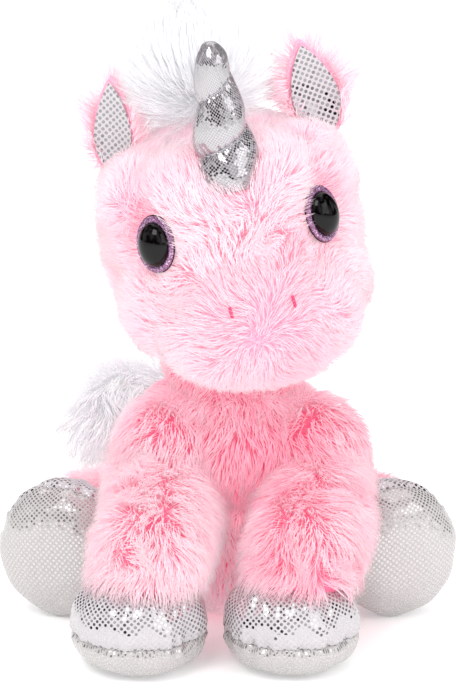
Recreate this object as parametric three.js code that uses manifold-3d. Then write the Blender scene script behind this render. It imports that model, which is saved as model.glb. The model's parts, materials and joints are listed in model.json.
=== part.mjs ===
// A seated plush unicorn, cut and sewn from pile fabric, 28 cm tall.
// Millimetres, +Z up. The toy faces -Y, and "left" and "right" are as seen from the front (left is -X).
// The origin is on the flat seat that it rests on, straight below the neck's middle.
import * as THREE from "three";
import { mergeVertices } from "three/addons/utils/BufferGeometryUtils.js";
import Module from "manifold-3d";

const wasm = await Module();
wasm.setup();

// ---------------------------------------------------------------- driving dimensions, mm and degrees
const GAP = 0.3; // clearance between pieces that touch
const JOINT_GAP = 0.5; // clearance between pieces that move against each other
const PILE = 9; // thickness of a fur panel: knitted backing with its pile standing
const FOIL = 1.6; // thickness of the backed foil-dot fabric
const CUT = 400; // side of a box that is larger than the toy

const TORSO = { centre: [0, 15, 49], radii: [51, 60, 55], sideSeamY: 15, pelletTop: 26 };
const NECK = { pivot: [0, -8, 88], radius: 40, bottom: 97, top: 119.5, nod: 8 };
const HEAD = { centre: [2, -25, 180], radii: [62, 60, 59], yaw: 5.7, roll: 9.5, floor: 120 };
const MUZZLE = { centre: [2.5, -42, -28.5], radii: [50, 36, 33] };
const EYE = { at: [38, -47, 11.5], azimuth: 42, lift: 4, radii: [9.6, 12], dome: 6, sink: 4.5 };
const IRIS = { width: 2.6, thick: 3 };
const POST = { radius: 2.6, length: 17, washer: 9, washerThick: 1.5 };
const NOSTRIL = { at: [13.2, -17.5], long: 5, radius: 0.9, lean: -6 };
const HORN = { at: [0, -41, 35], length: 58, base: 16, tip: 6, turns: 2.6, lean: 9, groove: 0.2 };
const MANE = { width: 25, thick: 17 };
const EAR = { at: [41, 4, 39], thick: 7, lining: 0.72, turn: { left: 28, right: 6 }, fold: [-20, -10, 0, 10, 20] };
const TAIL = { pivot: [-9, 70, 36], swing: [-12, 0, 12] };
const FRONT_LEG = { radius: 27, lift: [0, 6, 12.5, 25] };
const SHOULDER = { left: [-29, -24, 67], right: [38, -24, 67] };
const HIND_LEG = { hip: [34, 28, 36], radius: 26, spread: [0, 5, 15] };
const HOOF = { radii: [29.5, 31, 23], height: 41, seam: 17, plump: 2.9, throat: 8 };
const FRONT_HOOF_AT = { left: [-38.5, -74, 0], right: [27.5, -73, 0] };
const HIND_HOOF = { at: [78, -25, 31], yaw: 18, pitch: 4 };

// A joint's range above lists its limits, and the angles between them at which a clearance is cut.

const SIDES = { left: -1, right: 1 };
const DEG = Math.PI / 180;

// ---------------------------------------------------------------- finishes
const finish = (color, roughness, metalness = 0) => ({ color, roughness, metalness });
const BLUSH_PILE = finish("#f6d3df", 0.95);
const ROSE_PILE = finish("#f3b0c6", 0.95);
const WHITE_PILE = finish("#f7f6f6", 0.95);
const FOIL_DOT = finish("#d9d6d8", 0.35, 0.6);
const SOLE_FABRIC = finish("#dedcdb", 0.7, 0.1);
const POLYESTER = finish("#fbfaf6", 1);
const PELLET_BAG = finish("#e9e4da", 0.9);
const EYE_PLASTIC = finish("#0e0b0c", 0.08);
const GLITTER = finish("#9a6aa5", 0.4, 0.3);
const WASHER_PLASTIC = finish("#e8e8e6", 0.5);
const STITCH = finish("#e8718f", 0.8);
const SILVER_THREAD = finish("#c9c8ca", 0.4, 0.4);

// ---------------------------------------------------------------- solids
/** Turns a closed BufferGeometry into a manifold solid. */
function solid(geometry) {
  const plain = geometry.clone();
  plain.deleteAttribute("normal");
  plain.deleteAttribute("uv");
  const merged = mergeVertices(plain, 1e-4);
  const mesh = new wasm.Mesh({
    numProp: 3,
    vertProperties: new Float32Array(merged.attributes.position.array),
    triVerts: new Uint32Array(merged.index.array),
  });
  return new wasm.Manifold(mesh);
}

/** The largest separate body of a solid, so that a cut leaves one piece. */
function largest(manifold) {
  return manifold.decompose().reduce((a, b) => (b.volume() > a.volume() ? b : a));
}

/** A named mesh of one finish from a manifold solid. */
function piece(name, manifold, look) {
  const { vertProperties, triVerts } = largest(manifold).getMesh();
  const geometry = new THREE.BufferGeometry();
  geometry.setAttribute("position", new THREE.BufferAttribute(new Float32Array(vertProperties), 3));
  geometry.setIndex(new THREE.BufferAttribute(new Uint32Array(triVerts), 1));
  geometry.computeVertexNormals();
  const mesh = new THREE.Mesh(geometry, new THREE.MeshStandardMaterial(look));
  mesh.name = name;
  return mesh;
}

/** An ellipsoid with its poles on Z. plump above 2 squares it towards a drum. */
function ball([x, y, z], [rx, ry, rz], { around = 20, rings = 12, plump = 2 } = {}) {
  const geometry = new THREE.SphereGeometry(1, around, rings);
  geometry.rotateX(Math.PI / 2);
  const position = geometry.attributes.position;
  const point = new THREE.Vector3();
  for (let i = 0; i < position.count; i += 1) {
    point.fromBufferAttribute(position, i);
    const ring = Math.hypot(point.x, point.y);
    const grow = ring > 1e-6 ? Math.min(1, ring) ** (2 / plump) / ring : 0;
    const height = Math.sign(point.z) * Math.abs(point.z) ** (2 / plump);
    position.setXYZ(i, point.x * grow * rx, point.y * grow * ry, height * rz);
  }
  geometry.translate(x, y, z);
  return solid(geometry);
}

/**
 * A plump closed tube along a curve. radiusAt(t) gives its half-thickness at 0..1 of the curve, and
 * across is the direction of its width.
 */
function sausage(curve, radiusAt, options = {}) {
  const { around = 16, rings = 12, plump = 2.8, wide = 1, across = [1, 0, 0] } = options;
  const geometry = new THREE.SphereGeometry(1, around, rings);
  const position = geometry.attributes.position;
  const point = new THREE.Vector3();
  const side = new THREE.Vector3();
  const front = new THREE.Vector3();
  for (let i = 0; i < position.count; i += 1) {
    point.fromBufferAttribute(position, i);
    const ring = Math.hypot(point.x, point.z);
    const grow = ring > 1e-6 ? Math.min(1, ring) ** (2 / plump) / ring : 0;
    const along = (Math.sign(point.y) * Math.abs(point.y) ** (2 / plump) + 1) / 2;
    const tangent = curve.getTangent(along);
    side.set(...across).projectOnPlane(tangent).normalize();
    front.crossVectors(side, tangent);
    const radius = radiusAt(along) * grow;
    const at = curve.getPoint(along);
    at.addScaledVector(side, point.x * radius * wide).addScaledVector(front, point.z * radius);
    position.setXYZ(i, at.x, at.y, at.z);
  }
  const tube = solid(geometry);
  if (tube.volume() > 0) return tube;
  geometry.index.array.reverse();
  return solid(geometry);
}

/** A solid between two heights. */
function between(manifold, low, high) {
  return manifold.trimByPlane([0, 0, 1], low).trimByPlane([0, 0, -1], -high);
}

/** The space that a solid passes through as it turns about a line through pivot. */
function swept(manifold, pivot, axis, degrees) {
  const there = new THREE.Matrix4().makeTranslation(...pivot);
  const back = there.clone().invert();
  const direction = new THREE.Vector3(...axis).normalize();
  const copies = degrees.map((angle) => {
    const turn = new THREE.Matrix4().makeRotationAxis(direction, angle * DEG);
    return manifold.transform(there.clone().multiply(turn).multiply(back).toArray());
  });
  return wasm.Manifold.union(copies);
}

const vectors = (points) => points.map((point) => new THREE.Vector3(...point));
const mirrored = ([x, y, z], side) => [x * side, y, z];

// ---------------------------------------------------------------- hooves
/** One hoof standing on Z = 0, as its upper, its sole and the filling inside them. */
function hoofSolids() {
  const centre = [0, 0, HOOF.height / 2];
  const shape = (less) => {
    const radii = HOOF.radii.map((radius) => radius - less);
    return between(ball(centre, radii, { around: 14, rings: 8, plump: HOOF.plump }), less, CUT);
  };
  const shell = shape(0).subtract(shape(FOIL));
  const { throat } = HOOF;
  const plug = oval([[0, 25], [throat, 25], [throat, HOOF.height + 2], [0, HOOF.height + 2]], 1, 10);
  return {
    upper: between(shell, HOOF.seam + GAP / 2, HOOF.height - GAP),
    sole: between(shell, 0, HOOF.seam - GAP / 2),
    filling: between(shape(FOIL + GAP), 0, HOOF.height - 3).add(plug.translate([0, 3, 0])),
    room: between(shape(-GAP), -1, HOOF.height),
    wideRoom: between(shape(-2 * JOINT_GAP), -1, HOOF.height + JOINT_GAP),
    zone: oval([[0, -1], [60, -1], [60, HOOF.height], [0, HOOF.height]], 1, 8),
  };
}

const HOOF_SOLIDS = hoofSolids();

/** Where a hind hoof stands: its sole faces forwards and outwards, and its rim is on the floor. */
function hindHoofMatrix(side) {
  const place = new THREE.Group();
  place.position.set(HIND_HOOF.at[0] * side, HIND_HOOF.at[1], HIND_HOOF.at[2]);
  place.rotation.set(-(90 - HIND_HOOF.pitch) * DEG, 0, HIND_HOOF.yaw * side * DEG, "ZXY");
  place.updateMatrix();
  return place.matrix;
}

/** Where a front hoof stands: flat on its sole. */
function frontHoofMatrix(sideName) {
  return new THREE.Matrix4().makeTranslation(...FRONT_HOOF_AT[sideName]);
}

// ---------------------------------------------------------------- legs
const LEG_DETAIL = { around: 12, rings: 10 };
const INNER_REACH = 5; // a hollow passes this far through the open end of its cover
const SWEEP_GROW = 2.4; // a swept leg's extra size, which covers the places between its copies

/** The outline of a front leg, grown by some millimetres, cut off level above its hoof. */
function frontLegOutline(sideName, grow) {
  const side = SIDES[sideName];
  const [x, y, z] = SHOULDER[sideName];
  const [hx, hy] = FRONT_HOOF_AT[sideName];
  const radius = FRONT_LEG.radius;
  const curve = new THREE.CatmullRomCurve3(
    vectors([
      [x, y + radius * 0.5 + grow * 0.7, z + radius * 0.75 + grow * 0.7],
      [x, y, z],
      [hx + side, hy + 14, HOOF.height + 7],
      [hx, hy + 1, HOOF.height - 16],
    ]),
  );
  const tube = sausage(curve, (t) => radius + grow + 1.5 * t, { wide: 1.03, ...LEG_DETAIL });
  return tube.trimByPlane([0, 0, 1], HOOF.height + (grow < 0 ? -INNER_REACH : 0));
}

/** A front leg's outline, pressed in where it leans on the hind hoof beside it. */
function dentedFrontLeg(sideName, grow) {
  const leg = frontLegOutline(sideName, grow);
  if (grow < 0) return leg;
  const side = SIDES[sideName];
  const hoof = HOOF_SOLIDS.wideRoom.transform(hindHoofMatrix(side).toArray());
  const passed = swept(hoof, SHOULDER[sideName], [1, 0, 0], FRONT_LEG.lift);
  return leg.subtract(passed).subtract(hindLegOutline(sideName, 1.5));
}

/** The outline of a hind leg, grown by some millimetres, cut off square above its hoof. */
function hindLegOutline(sideName, grow) {
  const side = SIDES[sideName];
  const hoof = hindHoofMatrix(side);
  const ankle = new THREE.Vector3(0, 0, HOOF.height + 4).applyMatrix4(hoof);
  const inHoof = new THREE.Vector3(0, 0, HOOF.height - 18).applyMatrix4(hoof);
  const [x, y, z] = mirrored(HIND_LEG.hip, side);
  const radius = HIND_LEG.radius;
  const curve = new THREE.CatmullRomCurve3([
    new THREE.Vector3(x - side * (10 + grow * 0.7), y + radius * 0.75 + grow * 0.7, z),
    new THREE.Vector3(x, y, z),
    ankle,
    inHoof,
  ]);
  const tube = sausage(curve, () => radius + grow, LEG_DETAIL);
  const away = new THREE.Vector3(0, 0, 1).transformDirection(hoof);
  const level = HOOF.height + (grow < 0 ? -INNER_REACH : 0);
  const edge = new THREE.Vector3(0, 0, level).applyMatrix4(hoof);
  return tube.trimByPlane(away.toArray(), away.dot(edge)).trimByPlane([0, 0, 1], 1);
}

/** A leg's fur cover, its hoof and their filling, from its outline and its hoof's place. */
function legPieces(prefix, outline, hoofMatrix) {
  const place = hoofMatrix.toArray();
  const cover = outline(0).subtract(outline(-PILE)).subtract(HOOF_SOLIDS.room.transform(place));
  const core = outline(-PILE - GAP).subtract(HOOF_SOLIDS.zone.transform(place));
  const filling = core.add(HOOF_SOLIDS.filling.transform(place));
  const leg = new THREE.Group();
  leg.add(
    piece(`${prefix}_cover`, cover, ROSE_PILE),
    piece(`${prefix}_stuffing`, filling, POLYESTER),
  );
  const hoof = new THREE.Group();
  hoof.applyMatrix4(hoofMatrix);
  hoof.add(
    piece(`${prefix}_hoof_upper`, HOOF_SOLIDS.upper, FOIL_DOT),
    piece(`${prefix}_hoof_sole`, HOOF_SOLIDS.sole, SOLE_FABRIC),
  );
  leg.add(hoof);
  return leg;
}

// ---------------------------------------------------------------- torso and neck
/** The torso's outline, less some millimetres all round, flat at the seat. */
function torsoOutline(less) {
  const radii = TORSO.radii.map((radius) => radius - less);
  return ball(TORSO.centre, radii).trimByPlane([0, 0, 1], less);
}

/** The spaces that the legs and the neck move in, which the torso leaves free. */
function torsoClearance() {
  const cuts = [ball(NECK.pivot, Array(3).fill(NECK.radius + JOINT_GAP), { around: 20, rings: 12 })];
  cuts[0] = cuts[0].trimByPlane([0, 0, 1], NECK.bottom - NECK.radius * Math.sin(NECK.nod * DEG) - 1);
  for (const [name, side] of Object.entries(SIDES)) {
    const front = frontLegOutline(name, SWEEP_GROW);
    cuts.push(swept(front, SHOULDER[name], [-1, 0, 0], FRONT_LEG.lift));
    const hoof = HOOF_SOLIDS.room.transform(hindHoofMatrix(side).toArray());
    const hind = hindLegOutline(name, SWEEP_GROW).add(hoof);
    cuts.push(swept(hind, mirrored(HIND_LEG.hip, side), [0, 0, side], HIND_LEG.spread));
  }
  cuts.push(swept(tailOutline(SWEEP_GROW), TAIL.pivot, [0, 0, 1], TAIL.swing));
  return wasm.Manifold.union(cuts);
}

/** The torso's two fur panels, its stuffing and the pellet bag in its seat. */
function torsoPieces() {
  const clearance = torsoClearance();
  const cover = torsoOutline(0).subtract(torsoOutline(PILE)).subtract(clearance);
  const core = torsoOutline(PILE + GAP).subtract(clearance);
  const torso = new THREE.Group();
  torso.add(
    piece("torso_back_panel", cover.trimByPlane([0, 1, 0], TORSO.sideSeamY + GAP / 2), ROSE_PILE),
    piece("torso_belly_panel", cover.trimByPlane([0, -1, 0], GAP / 2 - TORSO.sideSeamY), ROSE_PILE),
    piece("torso_stuffing", core.trimByPlane([0, 0, 1], TORSO.pelletTop + GAP), POLYESTER),
    piece("pellet_bag", core.trimByPlane([0, 0, -1], -TORSO.pelletTop), PELLET_BAG),
  );
  return torso;
}

/** The neck: a fur sleeve round a ball of stuffing, which nods in the torso. */
function neckPieces() {
  const zone = (less, reach = 0) => {
    const sphere = ball(NECK.pivot, Array(3).fill(NECK.radius - less));
    return between(sphere, NECK.bottom - reach, NECK.top + reach);
  };
  const neck = new THREE.Group();
  neck.add(
    piece("neck_sleeve", zone(0).subtract(zone(PILE, 1)), ROSE_PILE),
    piece("neck_stuffing", zone(PILE + GAP), POLYESTER),
  );
  return neck;
}

// ---------------------------------------------------------------- head
const headTurn = new THREE.Group();
headTurn.position.set(...HEAD.centre);
headTurn.rotation.set(0, -HEAD.roll * DEG, HEAD.yaw * DEG, "ZYX");
headTurn.updateMatrix();
const UP_IN_HEAD = new THREE.Vector3(0, 0, 1).transformDirection(headTurn.matrix.clone().invert());
const FLOOR_IN_HEAD = HEAD.floor - HEAD.centre[2];

/** The head's outline in its own frame, less some millimetres, with the neck opening cut level. */
function headOutline(less, reach = 0) {
  const skull = ball([0, 0, 0], HEAD.radii.map((radius) => radius - less), { around: 20, rings: 12 });
  const nose = ball(MUZZLE.centre, MUZZLE.radii.map((radius) => radius - less), { around: 16, rings: 10 });
  return skull.add(nose).trimByPlane(UP_IN_HEAD.toArray(), FLOOR_IN_HEAD - reach);
}

/** A lathe about its own +Z from [radius, height] points, scaled to an oval across. */
function oval(points, squash, around = 18) {
  const geometry = new THREE.LatheGeometry(points.map(([r, h]) => new THREE.Vector2(r, h)), around);
  geometry.rotateX(Math.PI / 2);
  geometry.scale(squash, 1, 1);
  const turned = solid(geometry);
  if (turned.volume() > 0) return turned;
  geometry.index.array.reverse();
  return solid(geometry);
}

/** Where an eye sits on the head: its +Z is the way it looks and its Y is its long way. */
function eyeMatrix(side) {
  const eye = new THREE.Group();
  eye.position.set(EYE.at[0] * side, EYE.at[1], EYE.at[2]);
  eye.rotation.set((90 - EYE.lift) * DEG, 0, EYE.azimuth * side * DEG, "ZXY");
  eye.translateZ(-EYE.sink);
  eye.updateMatrix();
  return eye.matrix;
}

/** A safety eye: pupil dome on its post, glitter ring round it, and washer inside the head. */
function eyeSolids() {
  const [across, tall] = EYE.radii;
  const squash = across / tall;
  const arc = (radius, height, count = 4) =>
    Array.from({ length: count + 1 }, (_, i) => {
      const angle = (i / count) * 90 * DEG;
      return [radius * Math.cos(angle), height * Math.sin(angle)];
    });
  const pupil = tall - IRIS.width;
  const dome = oval([[0, 0], ...arc(pupil, EYE.dome).map(([r, h]) => [r, h + 0.6])], squash);
  const post = oval(
    [[0, -POST.length], [POST.radius, -POST.length], [POST.radius, 0.4], [0, 0.4]],
    1,
    12,
  );
  const inner = pupil + GAP;
  const ring = oval(
    [[inner, 0], [tall, 0], [tall, 1.2], [tall - 0.8, IRIS.thick - 0.6], [inner, IRIS.thick], [inner, 0]],
    squash,
  );
  const low = -POST.length + 5;
  const bore = POST.radius + GAP;
  const high = low + POST.washerThick;
  const washer = oval(
    [[bore, low], [POST.washer, low], [POST.washer, high], [bore, high], [bore, low]],
    1,
    16,
  );
  const bed = oval(
    [[0, -GAP], [tall + GAP, -GAP], [tall + GAP, 14], [0, 14]],
    squash,
  );
  const shaft = oval([[0, low - 8], [bore, low - 8], [bore, 1], [0, 1]], 1, 12);
  const pocket = oval(
    [[0, low - GAP], [POST.washer + GAP, low - GAP], [POST.washer + GAP, high + GAP], [0, high + GAP]],
    1,
    16,
  );
  return { pupil: dome.add(post), ring, washer, room: bed.add(shaft).add(pocket) };
}

/** The outline of an ear, in the plane that it lies in, scaled about its middle. */
function earOutline(scale, sideName) {
  const slim = sideName === "left" ? 0.88 : 1;
  const shape = new THREE.Shape();
  shape.moveTo(10, -10);
  shape.bezierCurveTo(17, -3, 21, 12, 17, 25);
  shape.bezierCurveTo(14, 35, 8, 42, 3, 45);
  shape.bezierCurveTo(-6, 38, -12, 26, -13, 8);
  shape.lineTo(10, -10);
  const middle = new THREE.Vector2(4, 17);
  const points = shape.getPoints(6).map((p) => p.sub(middle).multiplyScalar(scale).add(middle));
  points.pop();
  return new THREE.Shape(points.map((p) => new THREE.Vector2(p.x * slim, p.y)));
}

/** A slab of an ear's outline, facing -Y, with its front face at frontY. */
function earSlab(scale, sideName, thick, frontY) {
  const geometry = new THREE.ExtrudeGeometry(earOutline(scale, sideName), {
    depth: thick,
    bevelEnabled: false,
    steps: 1,
  });
  geometry.rotateX(Math.PI / 2);
  geometry.translate(0, frontY + thick, 0);
  const slab = solid(geometry);
  return SIDES[sideName] > 0 ? slab : slab.mirror([1, 0, 0]);
}

/** Where an ear stands on the head, and how far it is turned outwards. */
function earMatrix(sideName) {
  const side = SIDES[sideName];
  const ear = new THREE.Group();
  ear.position.set(...mirrored(EAR.at, side));
  ear.rotation.z = EAR.turn[sideName] * side * DEG;
  ear.updateMatrix();
  return ear.matrix;
}

/** An ear's fur back and its foil-dot lining, with the lining let into the fur. */
function earSolids(sideName) {
  const front = -EAR.thick / 2;
  const bed = earSlab(EAR.lining + 0.04, sideName, FOIL + GAP, front - 0.01);
  return {
    back: earSlab(1, sideName, EAR.thick, front).subtract(bed),
    lining: earSlab(EAR.lining, sideName, FOIL, front - GAP),
  };
}

/** The horn's radius at a height share and a turn, with a thread groove winding up it. */
function hornRadius(t, angle, less) {
  const taper = HORN.base + (HORN.tip - HORN.base) * t ** 0.9;
  const cap = Math.min(1, Math.sqrt(Math.max(0, (1 - t) / 0.07)));
  const phase = (((t * HORN.turns - angle / (2 * Math.PI)) % 1) + 1) % 1;
  const bulge = 1 - HORN.groove * (1 - Math.sin(Math.PI * phase));
  return Math.max(0, (taper * bulge - less) * cap);
}

/** The horn's outline about its own +Z, less some millimetres. */
function hornOutline(less) {
  const geometry = new THREE.CylinderGeometry(1, 1, HORN.length, 12, 14);
  geometry.rotateX(Math.PI / 2);
  const position = geometry.attributes.position;
  for (let i = 0; i < position.count; i += 1) {
    const [x, y] = [position.getX(i), position.getY(i)];
    const t = position.getZ(i) / HORN.length + 0.5;
    const ring = Math.min(1, Math.hypot(x, y));
    const angle = Math.atan2(y, x);
    const radius = Math.max(hornRadius(t, angle, less), 0.4) * ring;
    position.setXYZ(i, radius * Math.cos(angle), radius * Math.sin(angle), t * (HORN.length - less));
  }
  return solid(geometry);
}

/** The thread that winds up the horn in its groove. */
function hornThread() {
  class Winding extends THREE.Curve {
    getPoint(s, target = new THREE.Vector3()) {
      const t = 0.2 + 0.68 * s;
      const angle = t * HORN.turns * 2 * Math.PI;
      const radius = hornRadius(t, angle, 0) + 1.7;
      return target.set(radius * Math.cos(angle), radius * Math.sin(angle), t * HORN.length);
    }
  }
  const section = new THREE.Shape().absarc(0, 0, 0.55, 0, 2 * Math.PI);
  const geometry = new THREE.ExtrudeGeometry(section, {
    extrudePath: new Winding(),
    steps: 28,
    curveSegments: 3,
  });
  return solid(geometry);
}

/** The mane: a tuft between the ears that runs down the back of the head. */
function maneSolid() {
  const curve = new THREE.CatmullRomCurve3(
    vectors([
      [-1, -26, 62],
      [-7, -2, 80],
      [-4, 26, 74],
      [0, 53, 38],
      [0, 62, 2],
      [0, 55, -24],
    ]),
  );
  const plume = (t) => MANE.thick + 7 * Math.exp(-(((t - 0.2) / 0.2) ** 2)) - 5 * t;
  return sausage(curve, plume, { around: 12, rings: 14, wide: MANE.width / MANE.thick, plump: 2.3 });
}

/** The head and all that is sewn to it. The ears are in their own groups, which fold. */
function headPieces() {
  const eyes = eyeSolids();
  const hornPlace = new THREE.Group();
  hornPlace.position.set(...HORN.at);
  hornPlace.rotation.x = HORN.lean * DEG;
  hornPlace.updateMatrix();
  const hornMatrix = hornPlace.matrix.toArray();

  const room = [hornOutline(0).transform(hornMatrix)];
  for (const [name, side] of Object.entries(SIDES)) {
    room.push(eyes.room.transform(eyeMatrix(side).toArray()));
    const thick = EAR.thick + 2 * JOINT_GAP;
    const ear = earSlab(1.07, name, thick, -thick / 2);
    const standing = ear.transform(earMatrix(name).toArray());
    room.push(swept(standing, mirrored(EAR.at, side), [1, 0, 0], EAR.fold));
  }
  const clearance = wasm.Manifold.union(room);
  const outer = headOutline(0);
  const shell = outer.subtract(headOutline(PILE, 1)).subtract(clearance);

  const head = new THREE.Group();
  head.applyMatrix4(headTurn.matrix);
  head.add(
    piece("head_left_panel", shell.trimByPlane([-1, 0, 0], GAP / 2), BLUSH_PILE),
    piece("head_right_panel", shell.trimByPlane([1, 0, 0], GAP / 2), BLUSH_PILE),
    piece("head_stuffing", headOutline(PILE + GAP).subtract(clearance), POLYESTER),
  );

  const earRoom = wasm.Manifold.union(room.slice(1));
  const mane = maneSolid().subtract(headOutline(-GAP)).subtract(earRoom);
  const hornRoom = hornOutline(-1.6).transform(hornMatrix);
  head.add(piece("mane_tuft", mane.subtract(hornRoom), WHITE_PILE));

  const horn = new THREE.Group();
  horn.applyMatrix4(hornPlace.matrix);
  const cover = hornOutline(0).subtract(hornOutline(FOIL).translate([0, 0, -0.01]));
  horn.add(
    piece("horn_cover", cover.trimByPlane([0, 0, 1], 0.3), FOIL_DOT),
    piece("horn_stuffing", hornOutline(FOIL + GAP).trimByPlane([0, 0, 1], 0.3), POLYESTER),
    piece("horn_thread", hornThread(), SILVER_THREAD),
  );
  head.add(horn);

  for (const [name, side] of Object.entries(SIDES)) {
    const eye = new THREE.Group();
    eye.applyMatrix4(eyeMatrix(side));
    eye.add(
      piece(`eye_${name}`, eyes.pupil, EYE_PLASTIC),
      piece(`iris_ring_${name}`, eyes.ring, GLITTER),
      piece(`eye_washer_${name}`, eyes.washer, WASHER_PLASTIC),
    );
    head.add(eye);
    head.add(nostril(name, side));

    const { back, lining } = earSolids(name);
    const ear = new THREE.Group();
    ear.applyMatrix4(earMatrix(name));
    ear.add(piece(`ear_${name}_back`, back, BLUSH_PILE), piece(`ear_${name}_lining`, lining, FOIL_DOT));
    head.add(ear);
  }
  return head;
}

/** A nostril: a short, nearly upright bar of embroidery thread on the muzzle. */
function nostril(name, side) {
  const [x, z] = NOSTRIL.at;
  const [rx, ry, rz] = MUZZLE.radii;
  const [cx, cy, cz] = MUZZLE.centre;
  const depth = Math.sqrt(1 - (x / rx) ** 2 - ((z - cz) / rz) ** 2) * ry;
  const bar = new THREE.CapsuleGeometry(NOSTRIL.radius, NOSTRIL.long, 3, 8);
  const mesh = piece(`nostril_stitch_${name}`, solid(bar), STITCH);
  mesh.position.set(cx + x * side, cy - depth - NOSTRIL.radius - 0.4, z);
  mesh.rotation.set(0, NOSTRIL.lean * DEG, 0);
  mesh.rotateX(90 * DEG);
  return mesh;
}

// ---------------------------------------------------------------- tail
/** The tail's plume, grown by some millimetres: up from the rump and over to the left. */
function tailOutline(grow) {
  const curve = new THREE.CatmullRomCurve3(
    vectors([
      [-8, 66 - grow, 28],
      [-14, 86, 46],
      [-34, 92, 76],
      [-56, 80, 84],
      [-68, 66, 62],
      [-71, 62, 46],
    ]),
  );
  const bush = (t) => 11 + grow + 7 * Math.sin(Math.PI * Math.min(1, t * 1.15) ** 0.9);
  return sausage(curve, bush, { plump: 2.4, across: [0, 1, 0], around: 12, rings: 14 });
}

/** The tail, in its own group, which swings. */
function tailPieces() {
  const tail = new THREE.Group();
  tail.add(piece("tail_plume", tailOutline(0), WHITE_PILE));
  return tail;
}

// ---------------------------------------------------------------- the toy
const toy = new THREE.Group();
toy.add(torsoPieces(), neckPieces(), headPieces(), tailPieces());
for (const [name, side] of Object.entries(SIDES)) {
  toy.add(
    legPieces(`front_leg_${name}`, (grow) => dentedFrontLeg(name, grow), frontHoofMatrix(name)),
    legPieces(`hind_leg_${name}`, (grow) => hindLegOutline(name, grow), hindHoofMatrix(side)),
  );
}

export default toy;
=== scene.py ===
"""The looks of a seated plush unicorn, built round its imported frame.

The toy is sewn from long curly pile. Each stuffed part is a padded skin that carries thousands of small locks
of pile, and its hooves, ear linings and horn are a white knit with round mirror-foil dots. All sizes are in
metres, and "left" and "right" are as seen from the front.
"""

import json
import logging
import math
from collections.abc import Callable, Iterable
from dataclasses import dataclass, field
from enum import Enum

import bpy
import numpy as np
from mathutils import Matrix, Vector
from mathutils.kdtree import KDTree

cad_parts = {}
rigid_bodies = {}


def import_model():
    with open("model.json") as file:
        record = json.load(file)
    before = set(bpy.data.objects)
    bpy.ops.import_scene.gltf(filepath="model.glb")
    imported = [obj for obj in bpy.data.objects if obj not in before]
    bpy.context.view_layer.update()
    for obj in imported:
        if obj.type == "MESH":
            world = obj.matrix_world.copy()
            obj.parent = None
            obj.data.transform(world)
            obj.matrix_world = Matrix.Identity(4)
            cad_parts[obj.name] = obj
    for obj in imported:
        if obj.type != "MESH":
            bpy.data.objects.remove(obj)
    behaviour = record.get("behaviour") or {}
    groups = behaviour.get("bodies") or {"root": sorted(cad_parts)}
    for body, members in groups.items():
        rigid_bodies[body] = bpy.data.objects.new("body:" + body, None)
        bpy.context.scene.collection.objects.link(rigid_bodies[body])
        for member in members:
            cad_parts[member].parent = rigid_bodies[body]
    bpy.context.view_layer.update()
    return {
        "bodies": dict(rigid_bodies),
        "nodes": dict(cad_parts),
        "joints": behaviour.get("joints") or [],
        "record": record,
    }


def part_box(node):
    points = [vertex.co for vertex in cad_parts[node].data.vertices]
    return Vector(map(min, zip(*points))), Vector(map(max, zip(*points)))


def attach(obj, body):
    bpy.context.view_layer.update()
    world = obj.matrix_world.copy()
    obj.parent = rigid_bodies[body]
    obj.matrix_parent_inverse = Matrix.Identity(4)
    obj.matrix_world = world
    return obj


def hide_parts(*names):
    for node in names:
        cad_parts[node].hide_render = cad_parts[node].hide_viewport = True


MM = 0.001
PILE_DEPTH = 8.5 * MM  # how far a padded skin lies under the tips of its pile
FIBRE_MAP = "OFBake"  # the UV map of the pile: U runs from root to tip, V is the lock's tint
CLOTH_MAP = "cloth_mm"  # the UV map of flat cloth, in millimetres along and across the knit
SIM_FRAMES = 20
PLUMP_PRESSURE = 4.0  # what the filling pushes its skin out with
LEAST_LOCK = 0.12  # the share of the full length below which no lock is grown
STRAY = 0.22  # how far single locks lie off the way that their neighbours lie
ROOT_DEPTH = 0.6 * MM  # how deep a lock's root sits in its backing

log = logging.getLogger("plush_unicorn")

Points = np.ndarray
Comb = Callable[[Points, Points], Points]
Trim = Callable[[Points], np.ndarray]


class Side(Enum):
    """A side of the toy as seen from the front, with the sign of its X."""

    LEFT = -1
    RIGHT = 1

    @property
    def word(self) -> str:
        """The side's name as the frame's nodes spell it."""
        return self.name.lower()


# ------------------------------------------------------------------------------------------ small helpers
def linear(code: str) -> tuple[float, float, float, float]:
    """Turns an sRGB hex colour into linear RGBA.

    Args:
        code: Six hex digits after a hash, such as "#f6d3df".

    Returns:
        Linear red, green and blue, with an alpha of 1.
    """
    shares = [int(code[i : i + 2], 16) / 255 for i in (1, 3, 5)]
    red, green, blue = (s / 12.92 if s <= 0.04045 else ((s + 0.055) / 1.055) ** 2.4 for s in shares)
    return red, green, blue, 1.0


def add_node(tree: bpy.types.NodeTree, kind: str, inputs: dict | None = None, **settings) -> bpy.types.Node:
    """Adds a shader node with its settings and links.

    Args:
        tree: The node tree.
        kind: The node's type name.
        inputs: Socket name or number to a value, or to an output socket to link.
        **settings: The node's own properties.

    Returns:
        The new node.
    """
    node = tree.nodes.new(kind)
    for key, value in settings.items():
        setattr(node, key, value)
    wire(tree, node, inputs or {})
    return node


def wire(tree: bpy.types.NodeTree, node: bpy.types.Node, inputs: dict) -> None:
    """Sets a node's sockets.

    Args:
        tree: The node tree.
        node: The node.
        inputs: Socket name or number to a value, or to an output socket to link.
    """
    for key, value in inputs.items():
        if isinstance(value, bpy.types.NodeSocket):
            tree.links.new(value, node.inputs[key])
        else:
            node.inputs[key].default_value = value


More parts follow.
